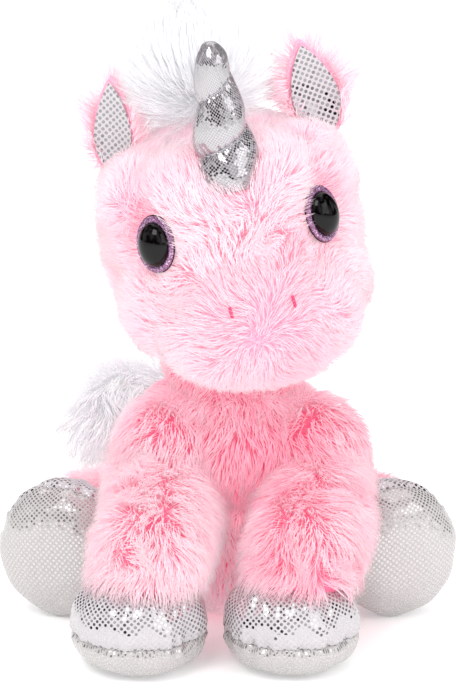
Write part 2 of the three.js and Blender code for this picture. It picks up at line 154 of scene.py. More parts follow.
def colour_by(
    tree: bpy.types.NodeTree,
    shader: bpy.types.Node,
    pattern: bpy.types.NodeSocket,
    stops: Iterable[tuple[float, str]],
    depth: float = 0.0,
) -> None:
    """Colours a finish by a pattern, and raises it by the same pattern.

    Args:
        tree: The material's node tree.
        shader: Its main shader.
        pattern: The pattern's output socket.
        stops: Where each sRGB hex colour stands along the pattern.
        depth: How high the pattern stands, and 0 for a flat one.
    """
    ramp = add_node(tree, "ShaderNodeValToRGB", {"Fac": pattern})
    set_ramp(ramp, stops)
    wire(tree, shader, {"Base Color": ramp.outputs["Color"]})
    if depth:
        bump = add_node(tree, "ShaderNodeBump", {"Height": pattern, "Distance": depth})
        wire(tree, shader, {"Normal": bump.outputs["Normal"]})


def set_ramp(node: bpy.types.Node, stops: Iterable[tuple[float, str]]) -> None:
    """Gives a colour ramp its stops.

    Args:
        node: The ColorRamp node.
        stops: Position and sRGB hex colour of each stop, at least two.
    """
    ramp = node.color_ramp
    stops = list(stops)
    while len(ramp.elements) < len(stops):
        ramp.elements.new(0.5)
    for element, (position, code) in zip(ramp.elements, stops, strict=True):
        element.position = position
        element.color = linear(code)


def deselect() -> None:
    """Leaves nothing selected, because operators act on all that is."""
    bpy.ops.object.select_all(action="DESELECT")


def pick(*objects: bpy.types.Object) -> None:
    """Selects only these objects and makes the first one active.

    Args:
        *objects: The objects.
    """
    deselect()
    for item in objects:
        item.select_set(True)
    bpy.context.view_layer.objects.active = objects[0]


def new_ball(name: str, segments: int, rings: int, radius: float = 1.0) -> bpy.types.Object:
    """Adds a ball for a piece to be shaped from.

    Args:
        name: The piece's name.
        segments: How many faces there are round it.
        rings: How many there are from pole to pole.
        radius: Its radius.

    Returns:
        The ball, selected and active.
    """
    deselect()
    bpy.ops.mesh.primitive_uv_sphere_add(segments=segments, ring_count=rings, radius=radius)
    ball = bpy.context.object
    ball.name = name
    return ball


def shade_smooth(piece: bpy.types.Object) -> None:
    """Gives a piece smooth shading."""
    pick(piece)
    bpy.ops.object.shade_smooth()


def apply_modifier(piece: bpy.types.Object, kind: str, **settings) -> None:
    """Adds a modifier to a piece and applies it.

    Args:
        piece: The mesh object.
        kind: The modifier's type.
        **settings: Its properties.
    """
    pick(piece)
    modifier = piece.modifiers.new(kind.title(), kind)
    for key, value in settings.items():
        setattr(modifier, key, value)
    bpy.ops.object.modifier_apply(modifier=modifier.name)


def get_points(piece: bpy.types.Object) -> Points:
    """The vertices of a piece as an (n, 3) array.

    Args:
        piece: A mesh object.

    Returns:
        Its vertices' places.
    """
    flat = np.empty(len(piece.data.vertices) * 3)
    piece.data.vertices.foreach_get("co", flat)
    return flat.reshape(-1, 3)


def set_points(piece: bpy.types.Object, points: Points) -> None:
    """Moves the vertices of a piece to an (n, 3) array.

    Args:
        piece: A mesh object.
        points: The new place of each vertex.
    """
    piece.data.vertices.foreach_set("co", points.astype(np.float32).ravel())
    piece.data.update()


def get_normals(piece: bpy.types.Object) -> Points:
    """The vertex normals of a piece as an (n, 3) array.

    Args:
        piece: A mesh object.

    Returns:
        Its vertices' normals.
    """
    flat = np.empty(len(piece.data.vertices) * 3)
    piece.data.vertex_normals.foreach_get("vector", flat)
    return flat.reshape(-1, 3)


def unit(vectors: Points) -> Points:
    """Scales each row of an (n, 3) array to a length of 1."""
    return vectors / np.maximum(np.linalg.norm(vectors, axis=1, keepdims=True), 1e-9)


def near(points: Points, centre: Iterable[float], reach: float) -> np.ndarray:
    """How near each point is to a centre: 1 there, falling as a bell curve of the given reach.

    Args:
        points: An (n, 3) array of points.
        centre: The centre.
        reach: How far from the centre it has fallen to a third.

    Returns:
        A share for each point.
    """
    away = np.linalg.norm(points - np.array(list(centre)), axis=1)
    return np.exp(-((away / reach) ** 2))


def bell(values: np.ndarray, centre: float, reach: float) -> np.ndarray:
    """A bell curve of the given reach: 1 where a value is at the centre."""
    return np.exp(-(((values - centre) / reach) ** 2))


def middle(node: str) -> Vector:
    """The middle of a CAD node's box.

    Args:
        node: The node's name.

    Returns:
        The middle.
    """
    low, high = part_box(node)
    return (Vector(low) + Vector(high)) / 2


def both_boxes(first: str, second: str) -> tuple[Vector, Vector]:
    """The low and the high corner of the box round two CAD nodes.

    Args:
        first: One node's name.
        second: The other's.

    Returns:
        The two corners.
    """
    (low_a, high_a), (low_b, high_b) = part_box(first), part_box(second)
    return Vector(map(min, low_a, low_b)), Vector(map(max, high_a, high_b))


def place(points: Points, matrix: Matrix) -> Points:
    """Moves an (n, 3) array of points by a matrix.

    Args:
        points: The points.
        matrix: A 4 by 4 matrix.

    Returns:
        The moved points.
    """
    array = np.array(matrix)
    return points @ array[:3, :3].T + array[:3, 3]


def wrap_cloth(piece: bpy.types.Object, angle: np.ndarray, around: float, up: np.ndarray) -> None:
    """Writes a cloth map that goes round a piece, with no tear where its angle starts again.

    Args:
        piece: The piece.
        angle: Each vertex's angle about the piece's own axis.
        around: How many millimetres of cloth there are to a radian.
        up: Each vertex's place along the cloth, in millimetres.
    """
    mesh = piece.data
    corners = np.empty(len(mesh.loops), np.int32)
    mesh.loops.foreach_get("vertex_index", corners)
    sizes = np.empty(len(mesh.polygons), np.int32)
    mesh.polygons.foreach_get("loop_total", sizes)
    first = np.repeat(angle[corners[np.cumsum(sizes) - sizes]], sizes)
    turn = angle[corners] - first
    turn -= 2 * math.pi * np.round(turn / (2 * math.pi))
    write_cloth(piece, np.column_stack([(first + turn) * around, up[corners]]))


def write_cloth(piece: bpy.types.Object, corners: np.ndarray) -> None:
    """Writes a cloth map, given in millimetres for each face corner, over the one that the piece has.

    Args:
        piece: The piece.
        corners: The two cloth measures of each face corner.
    """
    layer = piece.data.uv_layers.active or piece.data.uv_layers.new(name=CLOTH_MAP)
    layer.name = CLOTH_MAP
    layer.data.foreach_set("uv", corners.astype(np.float32).ravel())


def spread_cloth(piece: bpy.types.Object, cloth: np.ndarray) -> None:
    """Writes a cloth map that is given in millimetres for each vertex.

    Args:
        piece: The piece.
        cloth: The two cloth measures of each vertex.
    """
    corners = np.empty(len(piece.data.loops), np.int32)
    piece.data.loops.foreach_get("vertex_index", corners)
    write_cloth(piece, cloth[corners])


class Waves:
    """Smooth seeded noise: a sum of sine waves, three values for each point."""

    def __init__(self, rng: np.random.Generator, size: float, count: int = 7) -> None:
        """Draws the waves.

        Args:
            rng: The seeded generator.
            size: The usual distance between one crest and the next.
            count: How many waves are added up.
        """
        self.steps = rng.normal(size=(3, count, 3)) * (2 * math.pi / size / math.sqrt(3))
        self.starts = rng.random((3, count)) * 2 * math.pi
        self.scale = math.sqrt(2 / count)

    def __call__(self, points: Points) -> Points:
        """The noise at an (n, 3) array of points, mostly within -1..1."""
        turns = np.einsum("ni,cki->nck", points, self.steps) + self.starts
        return np.sin(turns).sum(axis=2) * self.scale


# ------------------------------------------------------------------------------------------ finishes
@dataclass(frozen=True)
class Finish:
    """A material of the toy, by the record's slot that it belongs to."""

    name: str
    slot: str

    def material(self) -> bpy.types.Material:
        """Makes the material once, and returns it.

        Returns:
            The material.
        """
        made = bpy.data.materials.get(self.name)
        if made is None:
            made = bpy.data.materials.new(self.name)
            made.use_nodes = True
            tree = made.node_tree
            tree.nodes.clear()
            shader = add_node(tree, "ShaderNodeBsdfPrincipled")
            add_node(tree, "ShaderNodeOutputMaterial", {"Surface": shader.outputs["BSDF"]})
            self.dress(tree, shader)
        return made

    def dress(self, tree: bpy.types.NodeTree, shader: bpy.types.Node) -> None:
        """Sets the shader's sockets and adds the pattern nodes.

        Args:
            tree: The material's node tree.
            shader: Its main shader.
        """
        raise NotImplementedError


@dataclass(frozen=True)
class PileFinish(Finish):
    """Dyed polyester pile. Each lock is painted deeper towards its root, as painted shade deep in the pile,
    and pales to its tip; locks range from deep to pale.
    """

    deep: tuple[str, str]
    pale: tuple[str, str]
    passed_on: float = 0.15  # painted glow: the pile emits its own colour, as this share of it, to lift the shade between locks in place of the light that fine fibres pass on to each other

    def dress(self, tree: bpy.types.NodeTree, shader: bpy.types.Node) -> None:
        """Polyester pile is matt and dense, so all its life is in the change of colour along a lock: a deeper
        root, which is painted shade deep in the pile, and a glow in the lock's own colour, which is painted
        light in the shade between locks.

        Args:
            tree: The material's node tree.
            shader: Its main shader.
        """
        fibre = add_node(tree, "ShaderNodeUVMap", uv_map=FIBRE_MAP)
        split = add_node(tree, "ShaderNodeSeparateXYZ", {"Vector": fibre.outputs["UV"]})
        shades = []
        # each ramp runs from a deeper root to a paler tip: the deeper root is painted shade deep in the pile
        for root, tip in (self.deep, self.pale):
            shade = add_node(tree, "ShaderNodeValToRGB", {"Fac": split.outputs["X"]})
            set_ramp(shade, [(0.05, root), (0.85, tip)])
            shades.append(shade.outputs["Color"])
        mixed = add_node(
            tree, "ShaderNodeMix", {0: split.outputs["Y"], 6: shades[0], 7: shades[1]}, data_type="RGBA"
        )
        sockets = {
            "Base Color": mixed.outputs[2],
            # painted glow: the pile emits its own colour to lift the shade between its locks
            "Emission Color": mixed.outputs[2],
            "Emission Strength": self.passed_on,
            "Roughness": 0.8,
            "Specular IOR Level": 0.3,
            "Sheen Weight": 0.3,
            "Sheen Roughness": 0.4,
        }
        wire(tree, shader, sockets)


@dataclass(frozen=True)
class BackingFinish(Finish):
    """Knitted backing that the pile grows from: fine ribs, seen only in the partings."""

    colour: str
    dark: str
    ribs_per_m: float = 900.0
    rib_depth: float = 0.3 * MM

    def dress(self, tree: bpy.types.NodeTree, shader: bpy.types.Node) -> None:
        """A warp knit has ribs about 1 mm apart, broken by its loops.

        Args:
            tree: The material's node tree.
            shader: Its main shader.
        """
        spot = add_node(tree, "ShaderNodeTexCoord")
        pattern = {"Vector": spot.outputs["Object"], "Scale": self.ribs_per_m, "Detail": 2.0}
        ribs = add_node(tree, "ShaderNodeTexNoise", pattern)
        # the colour deepens to dark where the ribs are low: painted shade in their hollows
        colour_by(tree, shader, ribs.outputs["Fac"], [(0.35, self.dark), (0.65, self.colour)], self.rib_depth)
        wire(tree, shader, {"Roughness": 0.95})


@dataclass(frozen=True)
class FoilDots(Finish):
    """White knit with round mirror-foil dots in slanting rows."""

    pitch_mm: float = 2.0
    dot_share: float = 0.33
    cloth: str = "#c9c6c8"
    foil: str = "#bfbcc0"
    tilt: float = 0.14  # how far a dot leans, as a share of its normal
    strength: float = 1.0  # how much of the foil is left on a dot
    slant: float = 38.0  # the turn of the rows, in degrees

    def dress(self, tree: bpy.types.NodeTree, shader: bpy.types.Node) -> None:
        """Hot-stamped foil is a mirror, and each dot tilts a little with the knit under it.

        Args:
            tree: The material's node tree.
            shader: Its main shader.
        """
        cloth = add_node(tree, "ShaderNodeUVMap", uv_map=CLOTH_MAP)
        rows = add_node(
            tree,
            "ShaderNodeMapping",
            {
                "Vector": cloth.outputs["UV"],
                "Rotation": (0.0, 0.0, math.radians(self.slant)),
                "Scale": (1 / self.pitch_mm, 1 / self.pitch_mm, 1.0),
            },
        )
        cell = add_node(tree, "ShaderNodeVectorMath", {0: rows.outputs["Vector"]}, operation="FLOOR")
        inside = add_node(tree, "ShaderNodeVectorMath", {0: rows.outputs["Vector"]}, operation="FRACTION")
        centred = add_node(
            tree,
            "ShaderNodeVectorMath",
            {0: inside.outputs["Vector"], 1: (0.5, 0.5, 0.0)},
            operation="SUBTRACT",
        )
        away = add_node(tree, "ShaderNodeVectorMath", {0: centred.outputs["Vector"]}, operation="LENGTH")
        dot = add_node(
            tree,
            "ShaderNodeMapRange",
            {
                "Value": away.outputs["Value"],
                "From Min": self.dot_share + 0.05,
                "From Max": self.dot_share - 0.03,
                "To Min": 0.0,
                "To Max": self.strength,
            },
        )
        luck = add_node(tree, "ShaderNodeTexWhiteNoise", {"Vector": cell.outputs["Vector"]})
        lean = add_node(
            tree,
            "ShaderNodeVectorMath",
            {0: luck.outputs["Color"], 1: (0.5, 0.5, 0.5)},
            operation="SUBTRACT",
        )
        scaled = add_node(
            tree, "ShaderNodeVectorMath", {0: lean.outputs["Vector"], "Scale": self.tilt}, operation="SCALE"
        )
        geometry = add_node(tree, "ShaderNodeNewGeometry")
        knit = add_node(
            tree, "ShaderNodeTexNoise", {"Vector": cloth.outputs["UV"], "Scale": 3.0, "Detail": 3.0}
        )
        bump = add_node(tree, "ShaderNodeBump", {"Height": knit.outputs["Fac"], "Distance": 0.25 * MM})
        leaning = add_node(
            tree,
            "ShaderNodeVectorMath",
            {0: geometry.outputs["Normal"], 1: scaled.outputs["Vector"]},
            operation="ADD",
        )
        normal = add_node(
            tree,
            "ShaderNodeMix",
            {0: dot.outputs["Result"], 4: bump.outputs["Normal"], 5: leaning.outputs["Vector"]},
            data_type="VECTOR",
        )
        facing = add_node(tree, "ShaderNodeVectorMath", {0: normal.outputs[1]}, operation="NORMALIZE")
        colour = add_node(
            tree,
            "ShaderNodeMix",
            {0: dot.outputs["Result"], 6: linear(self.cloth), 7: linear(self.foil)},
            data_type="RGBA",
        )
        rough = add_node(
            tree,
            "ShaderNodeMapRange",
            {"Value": dot.outputs["Result"], "To Min": 0.5, "To Max": 0.08},
        )
        sockets = {
            "Base Color": colour.outputs[2],
            "Metallic": dot.outputs["Result"],
            "Roughness": rough.outputs["Result"],
            "Normal": facing.outputs["Vector"],
        }
        wire(tree, shader, sockets)


@dataclass(frozen=True)
class PolishedPlastic(Finish):
    """Injection-moulded plastic, polished like a dark glass bead."""

    colour: str = "#070506"
    dark: str = "#000000"
    rough: float = 0.04

    def dress(self, tree: bpy.types.NodeTree, shader: bpy.types.Node) -> None:
        """Faint flow clouds under the gloss keep the black from being one flat value.

        Args:
            tree: The material's node tree.
            shader: Its main shader.
        """
        spot = add_node(tree, "ShaderNodeTexCoord")
        flow = add_node(
            tree, "ShaderNodeTexNoise", {"Vector": spot.outputs["Object"], "Scale": 160.0, "Detail": 2.0}
        )
        colour_by(tree, shader, flow.outputs["Fac"], [(0.35, self.dark), (0.7, self.colour)])
        wire(tree, shader, {"Roughness": self.rough, "IOR": 1.49, "Specular IOR Level": 0.28})


@dataclass(frozen=True)
class GlitterLacquer(Finish):
    """Fine hexagonal glitter set in clear lacquer, drawn at 0.4 mm a flake so that it shows."""

    # the purple is the glitter's own; the glint and the dim and dark flakes are painted highlights and
    # painted shade of flakes at their own angles
    flash: str = "#f0def0"
    flake: str = "#b07cab"
    tilted: str = "#85507c"
    between: str = "#572a50"
    flake_mm: float = 0.4

    def dress(self, tree: bpy.types.NodeTree, shader: bpy.types.Node) -> None:
        """Each flake gets its own colour at random, from nearly white to deep purple: painted glints and
        painted shade that stand in for flakes lying at their own angles.

        Args:
            tree: The material's node tree.
            shader: Its main shader.
        """
        spot = add_node(tree, "ShaderNodeTexCoord")
        flakes = add_node(
            tree,
            "ShaderNodeTexVoronoi",
            {"Vector": spot.outputs["Object"], "Scale": 1 / (self.flake_mm * MM)},
        )
        grey = add_node(tree, "ShaderNodeSeparateXYZ", {"Vector": flakes.outputs["Color"]})
        # flakes are coloured at random from the painted dark flake up to the painted glint
        stops = [(0.0, self.between), (0.5, self.tilted), (0.85, self.flake), (1.0, self.flash)]
        colour_by(tree, shader, grey.outputs["X"], stops)
        rough = add_node(
            tree, "ShaderNodeMapRange", {"Value": grey.outputs["Y"], "To Min": 0.18, "To Max": 0.55}
        )
        sockets = {
            "Roughness": rough.outputs["Result"],
            "Metallic": 0.45,
            "Coat Weight": 0.8,
            "Coat Roughness": 0.05,
        }
        wire(tree, shader, sockets)


@dataclass(frozen=True)
class Thread(Finish):
    """Twisted embroidery thread."""

    # light is painted light on the crests of the plies, and dark is painted shade in the grooves between them
    light: str = "#ee5f8d"
    dark: str = "#cf3a6c"
    twist_mm: float = 0.6
    metallic: float = 0.0
    ply_depth: float = 0.1 * MM

    def dress(self, tree: bpy.types.NodeTree, shader: bpy.types.Node) -> None:
        """The plies show as slanting light and dark bands along the thread: painted light on their crests and
        painted shade in the grooves between them, raised by the same bands.

        Args:
            tree: The material's node tree.
            shader: Its main shader.
        """
        spot = add_node(tree, "ShaderNodeTexCoord")
        plies = add_node(
            tree,
            "ShaderNodeTexWave",
            {"Vector": spot.outputs["Object"], "Scale": 1 / (self.twist_mm * MM) / 3, "Distortion": 1.0},
            bands_direction="DIAGONAL",
        )
        colour_by(tree, shader, plies.outputs["Fac"], [(0.2, self.dark), (0.8, self.light)], self.ply_depth)
        wire(tree, shader, {"Roughness": 0.55, "Metallic": self.metallic})


# the last number of each pile is its painted glow, which lifts the shade between locks
BLUSH_PILE = PileFinish(
    "soft polyester pile, blush", "blush_pile", ("#f5bdcd", "#f1ccd7"), ("#f1d3dc", "#eedde3"), 0.36
)
ROSE_PILE = PileFinish(
    "curly polyester pile, rose", "rose_pile", ("#f495b0", "#f2b0c2"), ("#f2c1cf", "#f0d7de"), 0.32
)
WHITE_PILE = PileFinish(
    "long silky pile, white", "white_pile", ("#e9e8ec", "#efeef1"), ("#eeedf0", "#f4f4f6"), 0.2
)
BLUSH_BACKING = BackingFinish("knitted backing, blush", "blush_pile", "#ffbdd1", "#ff9dbb")
ROSE_BACKING = BackingFinish("knitted backing, rose", "rose_pile", "#ff8fb0", "#ff739b")
WHITE_BACKING = BackingFinish("knitted backing, white", "white_pile", "#fbfbfb", "#f3f2f3")
HOOF_FOIL = FoilDots("foil-dot knit, hoof uppers", "foil_dot_fabric")
EAR_FOIL = FoilDots(
    "foil-dot knit, ear linings", "foil_dot_fabric", pitch_mm=2.2, cloth="#cfccce", foil="#918e94"
)
HORN_FOIL = FoilDots(
    "foil-dot knit, horn",
    "foil_dot_fabric",
    pitch_mm=1.05,
    dot_share=0.45,
    cloth="#a5a2a6",
    foil="#bcbabd",
    tilt=0.16,
)
SOLE_CLOTH = FoilDots(
    "foil-dot knit, soles", "sole_fabric", cloth="#bfbcbb", foil="#c6c4c4", tilt=0.2, strength=0.85
)
EYE_PLASTIC = PolishedPlastic("polished black plastic", "eye_plastic")
GLITTER = GlitterLacquer("purple glitter in clear lacquer", "iris_glitter")
NOSTRIL_THREAD = Thread("embroidery thread, deep pink", "nostril_thread")
SILVER_THREAD = Thread("metallic wound thread", "silver_thread", "#d3d1d6", "#8d8993", 0.6, 0.6)


# ------------------------------------------------------------------------------------------ padded skins
@dataclass(frozen=True)
class Lump:
    """One round of filling: a ball or an ellipsoid, turned by an optional matrix."""

    centre: Vector
    radii: tuple[float, float, float]
    turn: Matrix = field(default_factory=lambda: Matrix.Identity(3))


def padded_skin(
    name: str, lumps: list[Lump], voxel: float = 4 * MM, smooth: int = 5, cap: float = 2 * MM
) -> bpy.types.Object:
    """Sews a skin round lumps of filling, and plumps it up.

    Args:
        name: The piece's name.
        lumps: The rounds of filling that the skin covers.
        voxel: The size of the remesh.
        smooth: How often the seams between lumps are smoothed.
        cap: The furthest that the plumping moves a point.

    Returns:
        The skin as a mesh object.
    """
    parts = []
    for lump in lumps:
        deselect()
        bpy.ops.mesh.primitive_uv_sphere_add(
            segments=32,
            ring_count=20,
            radius=1.0,
            location=lump.centre,
            rotation=lump.turn.to_euler(),
            scale=lump.radii,
        )
        parts.append(bpy.context.object)
    pick(*parts)
    if len(parts) > 1:
        bpy.ops.object.join()
    skin = bpy.context.object
    skin.name = name
    bpy.ops.object.transform_apply(location=True, rotation=True, scale=True)
    skin.data.remesh_voxel_size = voxel
    bpy.ops.object.voxel_remesh()
    apply_modifier(skin, "SMOOTH", factor=0.5, iterations=smooth)
    plump(skin, cap)
    apply_modifier(skin, "SUBSURF", levels=1, render_levels=1)
    shade_smooth(skin)
    return skin


def plump(skin: bpy.types.Object, cap: float) -> None:
    """Blows a skin up as its filling does, by cloth under pressure.

    Args:
        skin: A closed mesh.
        cap: The furthest that a point may move.
    """
    before = get_points(skin)
    pick(skin)
    cloth = skin.modifiers.new("Cloth", "CLOTH")
    cloth.settings.use_pressure = True
    cloth.settings.uniform_pressure_force = PLUMP_PRESSURE
    cloth.settings.effector_weights.gravity = 0.0
    cloth.settings.quality = 4
    cloth.collision_settings.use_collision = False
    for frame in range(1, SIM_FRAMES + 1):
        bpy.context.scene.frame_set(frame)
    bpy.ops.object.modifier_apply(modifier=cloth.name)
    bpy.context.scene.frame_set(1)
    move = get_points(skin) - before
    move -= move.mean(axis=0)
    length = np.maximum(np.linalg.norm(move, axis=1, keepdims=True), 1e-9)
    set_points(skin, before + move * np.minimum(1.0, cap / length))


# ------------------------------------------------------------------------------------------ pile
@dataclass(frozen=True)
class Pile:
    """How a pile fabric grows. Lengths are in metres."""

    finish: Finish
    length: float = 12 * MM
    pitch: float = 1.0 * MM  # the distance between one root and the next
    width: float = 0.46 * MM
    height: float = 0.58  # the share of its length that a lock's tip stands above the skin
    curl: float = 0.8 * MM  # how far a tip swings off its lock's line
    clump: float = 3.5 * MM  # the distance between one clump and the next
    pull: float = 0.34  # how far a clump draws its locks' tips together
    tousle: float = 0.5  # how far whole patches lie off the comb's way
    wave: float = 22 * MM  # the size of those patches
    stations: int = 3  # points along a lock, from its root to its tip


class Coat:
    """The pile of one padded skin, as closed tapering locks."""

    TRIANGLES_PER_PIECE = 190_000  # keeps each piece of pile under 200,000

    def __init__(self, name: str, pile: Pile, seed: int) -> None:
        """Starts a coat.

        Args:
            name: The stem of its pieces' names.
            pile: The fabric.
            seed: The seed of its random draws.
        """
        self.name = name
        self.pile = pile
        self.rng = np.random.default_rng(seed)
        self.steps = np.linspace(0.0, 1.0, pile.stations)

    def grow(
        self, skin: bpy.types.Object, comb: Comb, trim: Trim | None = None, tone: Trim | None = None
    ) -> list[bpy.types.Object]:
        """Grows the pile on a skin.

        Args:
            skin: The padded skin.
            comb: Gives the way that the pile lies from points and normals.
            trim: Gives each lock's share of the full length, and 0 where none grows.
            tone: Gives what is added to each lock's tint, which paints light and shade on parts of most
                coats.

        Returns:
            The pieces, each one a mesh object.
        """
        pile, rng = self.pile, self.rng
        roots, normals = self.scatter(skin)
        shares = np.ones(len(roots)) if trim is None else trim(roots)
        kept = shares > LEAST_LOCK
        roots, normals, shares = roots[kept], normals[kept], shares[kept]
        count = len(roots)
        lay = comb(roots, normals) + pile.tousle * Waves(rng, pile.wave)(roots)
        lay += STRAY * rng.normal(size=(count, 3))
        lay = unit(lay - normals * (lay * normals).sum(axis=1, keepdims=True))
        length = pile.length * shares * (0.84 + 0.3 * rng.random(count))
        spine = self.spine(roots, normals, lay, length)
        centres = rng.permutation(count)[: max(1, int(count * (pile.pitch / pile.clump) ** 2))]
        owner = nearest(roots[centres], roots)
        guide = spine[centres[owner]]
        hold = (pile.pull * self.steps**1.3)[None, :, None]
        spine += (guide - spine) * hold * (0.6 + 0.7 * rng.random((count, 1, 1)))
        side = unit(np.cross(lay, normals))
        phase = rng.random(count)[:, None] * 2 * math.pi + self.steps * 4.5
        swing = pile.curl * self.steps * shares[:, None]
        spine += side[:, None, :] * (np.sin(phase) * swing)[..., None]
        spine += normals[:, None, :] * (np.cos(phase) * swing * 0.5)[..., None]
        tint = 0.6 + 0.13 * Waves(rng, 30 * MM)(roots)[:, 0] + 0.13 * rng.normal(size=len(centres))[owner]
        tint += 0.12 * rng.normal(size=count)
        if tone is not None:
            tint += tone(roots)
        width = pile.width * (0.7 + 0.6 * rng.random(count)) * np.clip(shares, 0.5, 1.0)
        return self.cut(spine, width, side, np.clip(tint, 0.02, 0.98))

    def scatter(self, skin: bpy.types.Object) -> tuple[Points, Points]:
        """Spreads roots evenly over a skin, and gives them with their normals.

        Args:
            skin: The padded skin.

        Returns:
            The roots' places and the skin's normals there.
        """
        mesh = skin.data
        mesh.calc_loop_triangles()
        corners = np.empty(len(mesh.loop_triangles) * 3, np.int32)
        mesh.loop_triangles.foreach_get("vertices", corners)
        corners = corners.reshape(-1, 3)
        points, normals = get_points(skin), get_normals(skin)
        a, b, c = (points[corners[:, i]] for i in range(3))
        total = np.cumsum(np.linalg.norm(np.cross(b - a, c - a), axis=1) / 2)
        count = int(total[-1] / self.pile.pitch**2)
        spots = (np.arange(count) + self.rng.random(count)) * total[-1] / count
        chosen = corners[np.searchsorted(total, spots)]
        first = np.sqrt(self.rng.random((count, 1)))
        second = self.rng.random((count, 1))
        shares = np.hstack([1 - first, first * (1 - second), first * second])
        where = (points[chosen] * shares[..., None]).sum(axis=1)
        facing = unit((normals[chosen] * shares[..., None]).sum(axis=1))
        return where - facing * ROOT_DEPTH, facing

    def spine(self, roots: Points, normals: Points, lay: Points, length: np.ndarray) -> np.ndarray:
        """The middle line of each lock: it leaves the skin upright and lies over towards its tip.

        Args:
            roots: Where the locks grow.
            normals: Which way the skin faces there.
            lay: Which way the locks lie.
            length: How long they are.

        Returns:
            A (locks, stations, 3) array.
        """
        t = self.steps
        up = t * 0.95 - t**2 * (0.95 - self.pile.height)
        over = 0.2 * t + 0.62 * t**2
        rise = normals[:, None, :] * up[None, :, None] + lay[:, None, :] * over[None, :, None]
        return roots[:, None, :] + rise * length[:, None, None]

    def cut(
        self, spine: np.ndarray, width: np.ndarray, side: Points, tint: np.ndarray
    ) -> list[bpy.types.Object]:
        """Turns spines into meshes, in pieces of a size that a file can hold.

        Args:
            spine: The locks' middle lines.
            width: Each lock's width.
            side: Each lock's wide direction.
            tint: Each lock's tint, 0 to 1.

        Returns:
            The pieces.
        """
        pieces = []
        order = np.argsort(spine[:, 0, 2], kind="stable")
        parts = max(1, math.ceil(len(order) * (6 * self.pile.stations - 8) / self.TRIANGLES_PER_PIECE))
        for number, some in enumerate(np.array_split(order, parts), 1):
            name = self.name if parts == 1 else f"{self.name}_{number}"
            pieces.append(lock_mesh(name, spine[some], width[some], side[some], tint[some]))
        return pieces


def nearest(centres: Points, points: Points) -> np.ndarray:
    """The number of the nearest centre to each point.

    Args:
        centres: An (m, 3) array.
        points: An (n, 3) array.

    Returns:
        The centres' numbers, one for each point.
    """
    tree = KDTree(len(centres))
    for number, centre in enumerate(centres):
        tree.insert(centre, number)
    tree.balance()
    return np.array([tree.find(point)[1] for point in points])


def lock_mesh(
    name: str, spine: np.ndarray, width: np.ndarray, side: Points, tint: np.ndarray
) -> bpy.types.Object:
    """Makes three-sided tapering locks as one mesh, with the fibre map on it.

    Args:
        name: The piece's name.
        spine: (locks, stations, 3) middle lines, the last station being the tip.
        width: Each lock's width.
        side: Each lock's wide direction.
        tint: Each lock's tint, 0 to 1.

    Returns:
        The mesh object.
    """
    count, stations, _ = spine.shape
    rings = stations - 1
    steps = np.linspace(0.0, 1.0, stations)
    taper = np.minimum(1.0, 0.8 + steps) * np.minimum(1.0, 1.9 - 1.5 * steps)
    along = unit(spine[:, -1] - spine[:, 0])
    first = unit(side - along * (side * along).sum(axis=1, keepdims=True))
    second = np.cross(along, first)
    size = rings * 3 + 1
    points = np.empty((count, size, 3))
    for ring in range(rings):
        for corner in range(3):
            angle = 2 * math.pi * corner / 3
            reach = (width * taper[ring] / 2)[:, None]
            offset = first * math.cos(angle) + 0.6 * second * math.sin(angle)
            points[:, ring * 3 + corner] = spine[:, ring] + offset * reach
    points[:, -1] = spine[:, -1]
    walls = [
        [r * 3 + k, r * 3 + (k + 1) % 3, (r + 1) * 3 + (k + 1) % 3, (r + 1) * 3 + k]
        for r in range(rings - 1)
        for k in range(3)
    ]
    last = (rings - 1) * 3
    ends = [[last + k, last + (k + 1) % 3, size - 1] for k in range(3)] + [[0, 2, 1]]
    pattern = np.array([corner for face in walls + ends for corner in face])
    counts = np.tile([4] * len(walls) + [3] * len(ends), count)
    corners = (np.arange(count)[:, None] * size + pattern).ravel()
    mesh = bpy.data.meshes.new(name)
    mesh.vertices.add(count * size)
    mesh.vertices.foreach_set("co", points.astype(np.float32).ravel())
    mesh.loops.add(len(corners))
    mesh.loops.foreach_set("vertex_index", corners.astype(np.int32))
    mesh.polygons.add(len(counts))
    mesh.polygons.foreach_set("loop_start", np.concatenate([[0], np.cumsum(counts)[:-1]]).astype(np.int32))
    mesh.update(calc_edges=True)
    root_to_tip = np.append(np.repeat(steps[:rings], 3), 1.0)
    fibre = np.empty((count, size, 2), np.float32)
    fibre[..., 0] = 0.02 + 0.96 * root_to_tip
    fibre[..., 1] = tint[:, None]
    layer = mesh.uv_layers.new(name=FIBRE_MAP)
    layer.data.foreach_set("uv", fibre.reshape(-1, 2)[corners].ravel())
    mesh.shade_smooth()
    piece = bpy.data.objects.new(name, mesh)
    bpy.context.scene.collection.objects.link(piece)
    return piece


def combed_from(source: Iterable[float], down: float = 0.6) -> Comb:
    """A comb that draws the pile away from a point and lets it hang.

    Args:
        source: The point that the pile points away from.
        down: How much the pile hangs, against 1 for being drawn away.

    Returns:
        The comb.
    """
    start = np.array(list(source))

    def comb(points: Points, normals: Points) -> Points:
        """Draws the pile away from the point.

        Args:
            points: Where the pile grows.
            normals: Which way the skin faces there. Not used.

        Returns:
            The way that it lies.
        """
        return unit(points - start) + np.array([0.0, 0.0, -down])

    return comb


# ------------------------------------------------------------------------------------------ assembling
def settle(
    piece: bpy.types.Object, body: str, finish: Finish, nodes: Iterable[str] = ()
) -> None:
    """Gives a finished piece its material and its body, and hides the CAD nodes that it stands for.

    Args:
        piece: The piece.
        body: The frame's body that it rides on.
        finish: Its finish.
        nodes: The CAD nodes that it replaces.
    """
    piece.data.materials.clear()
    piece.data.materials.append(finish.material())
    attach(piece, body)
    if nodes:
        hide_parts(*nodes)
    log.info("%s: %d faces on %s, %s", piece.name, len(piece.data.polygons), body, finish.name)


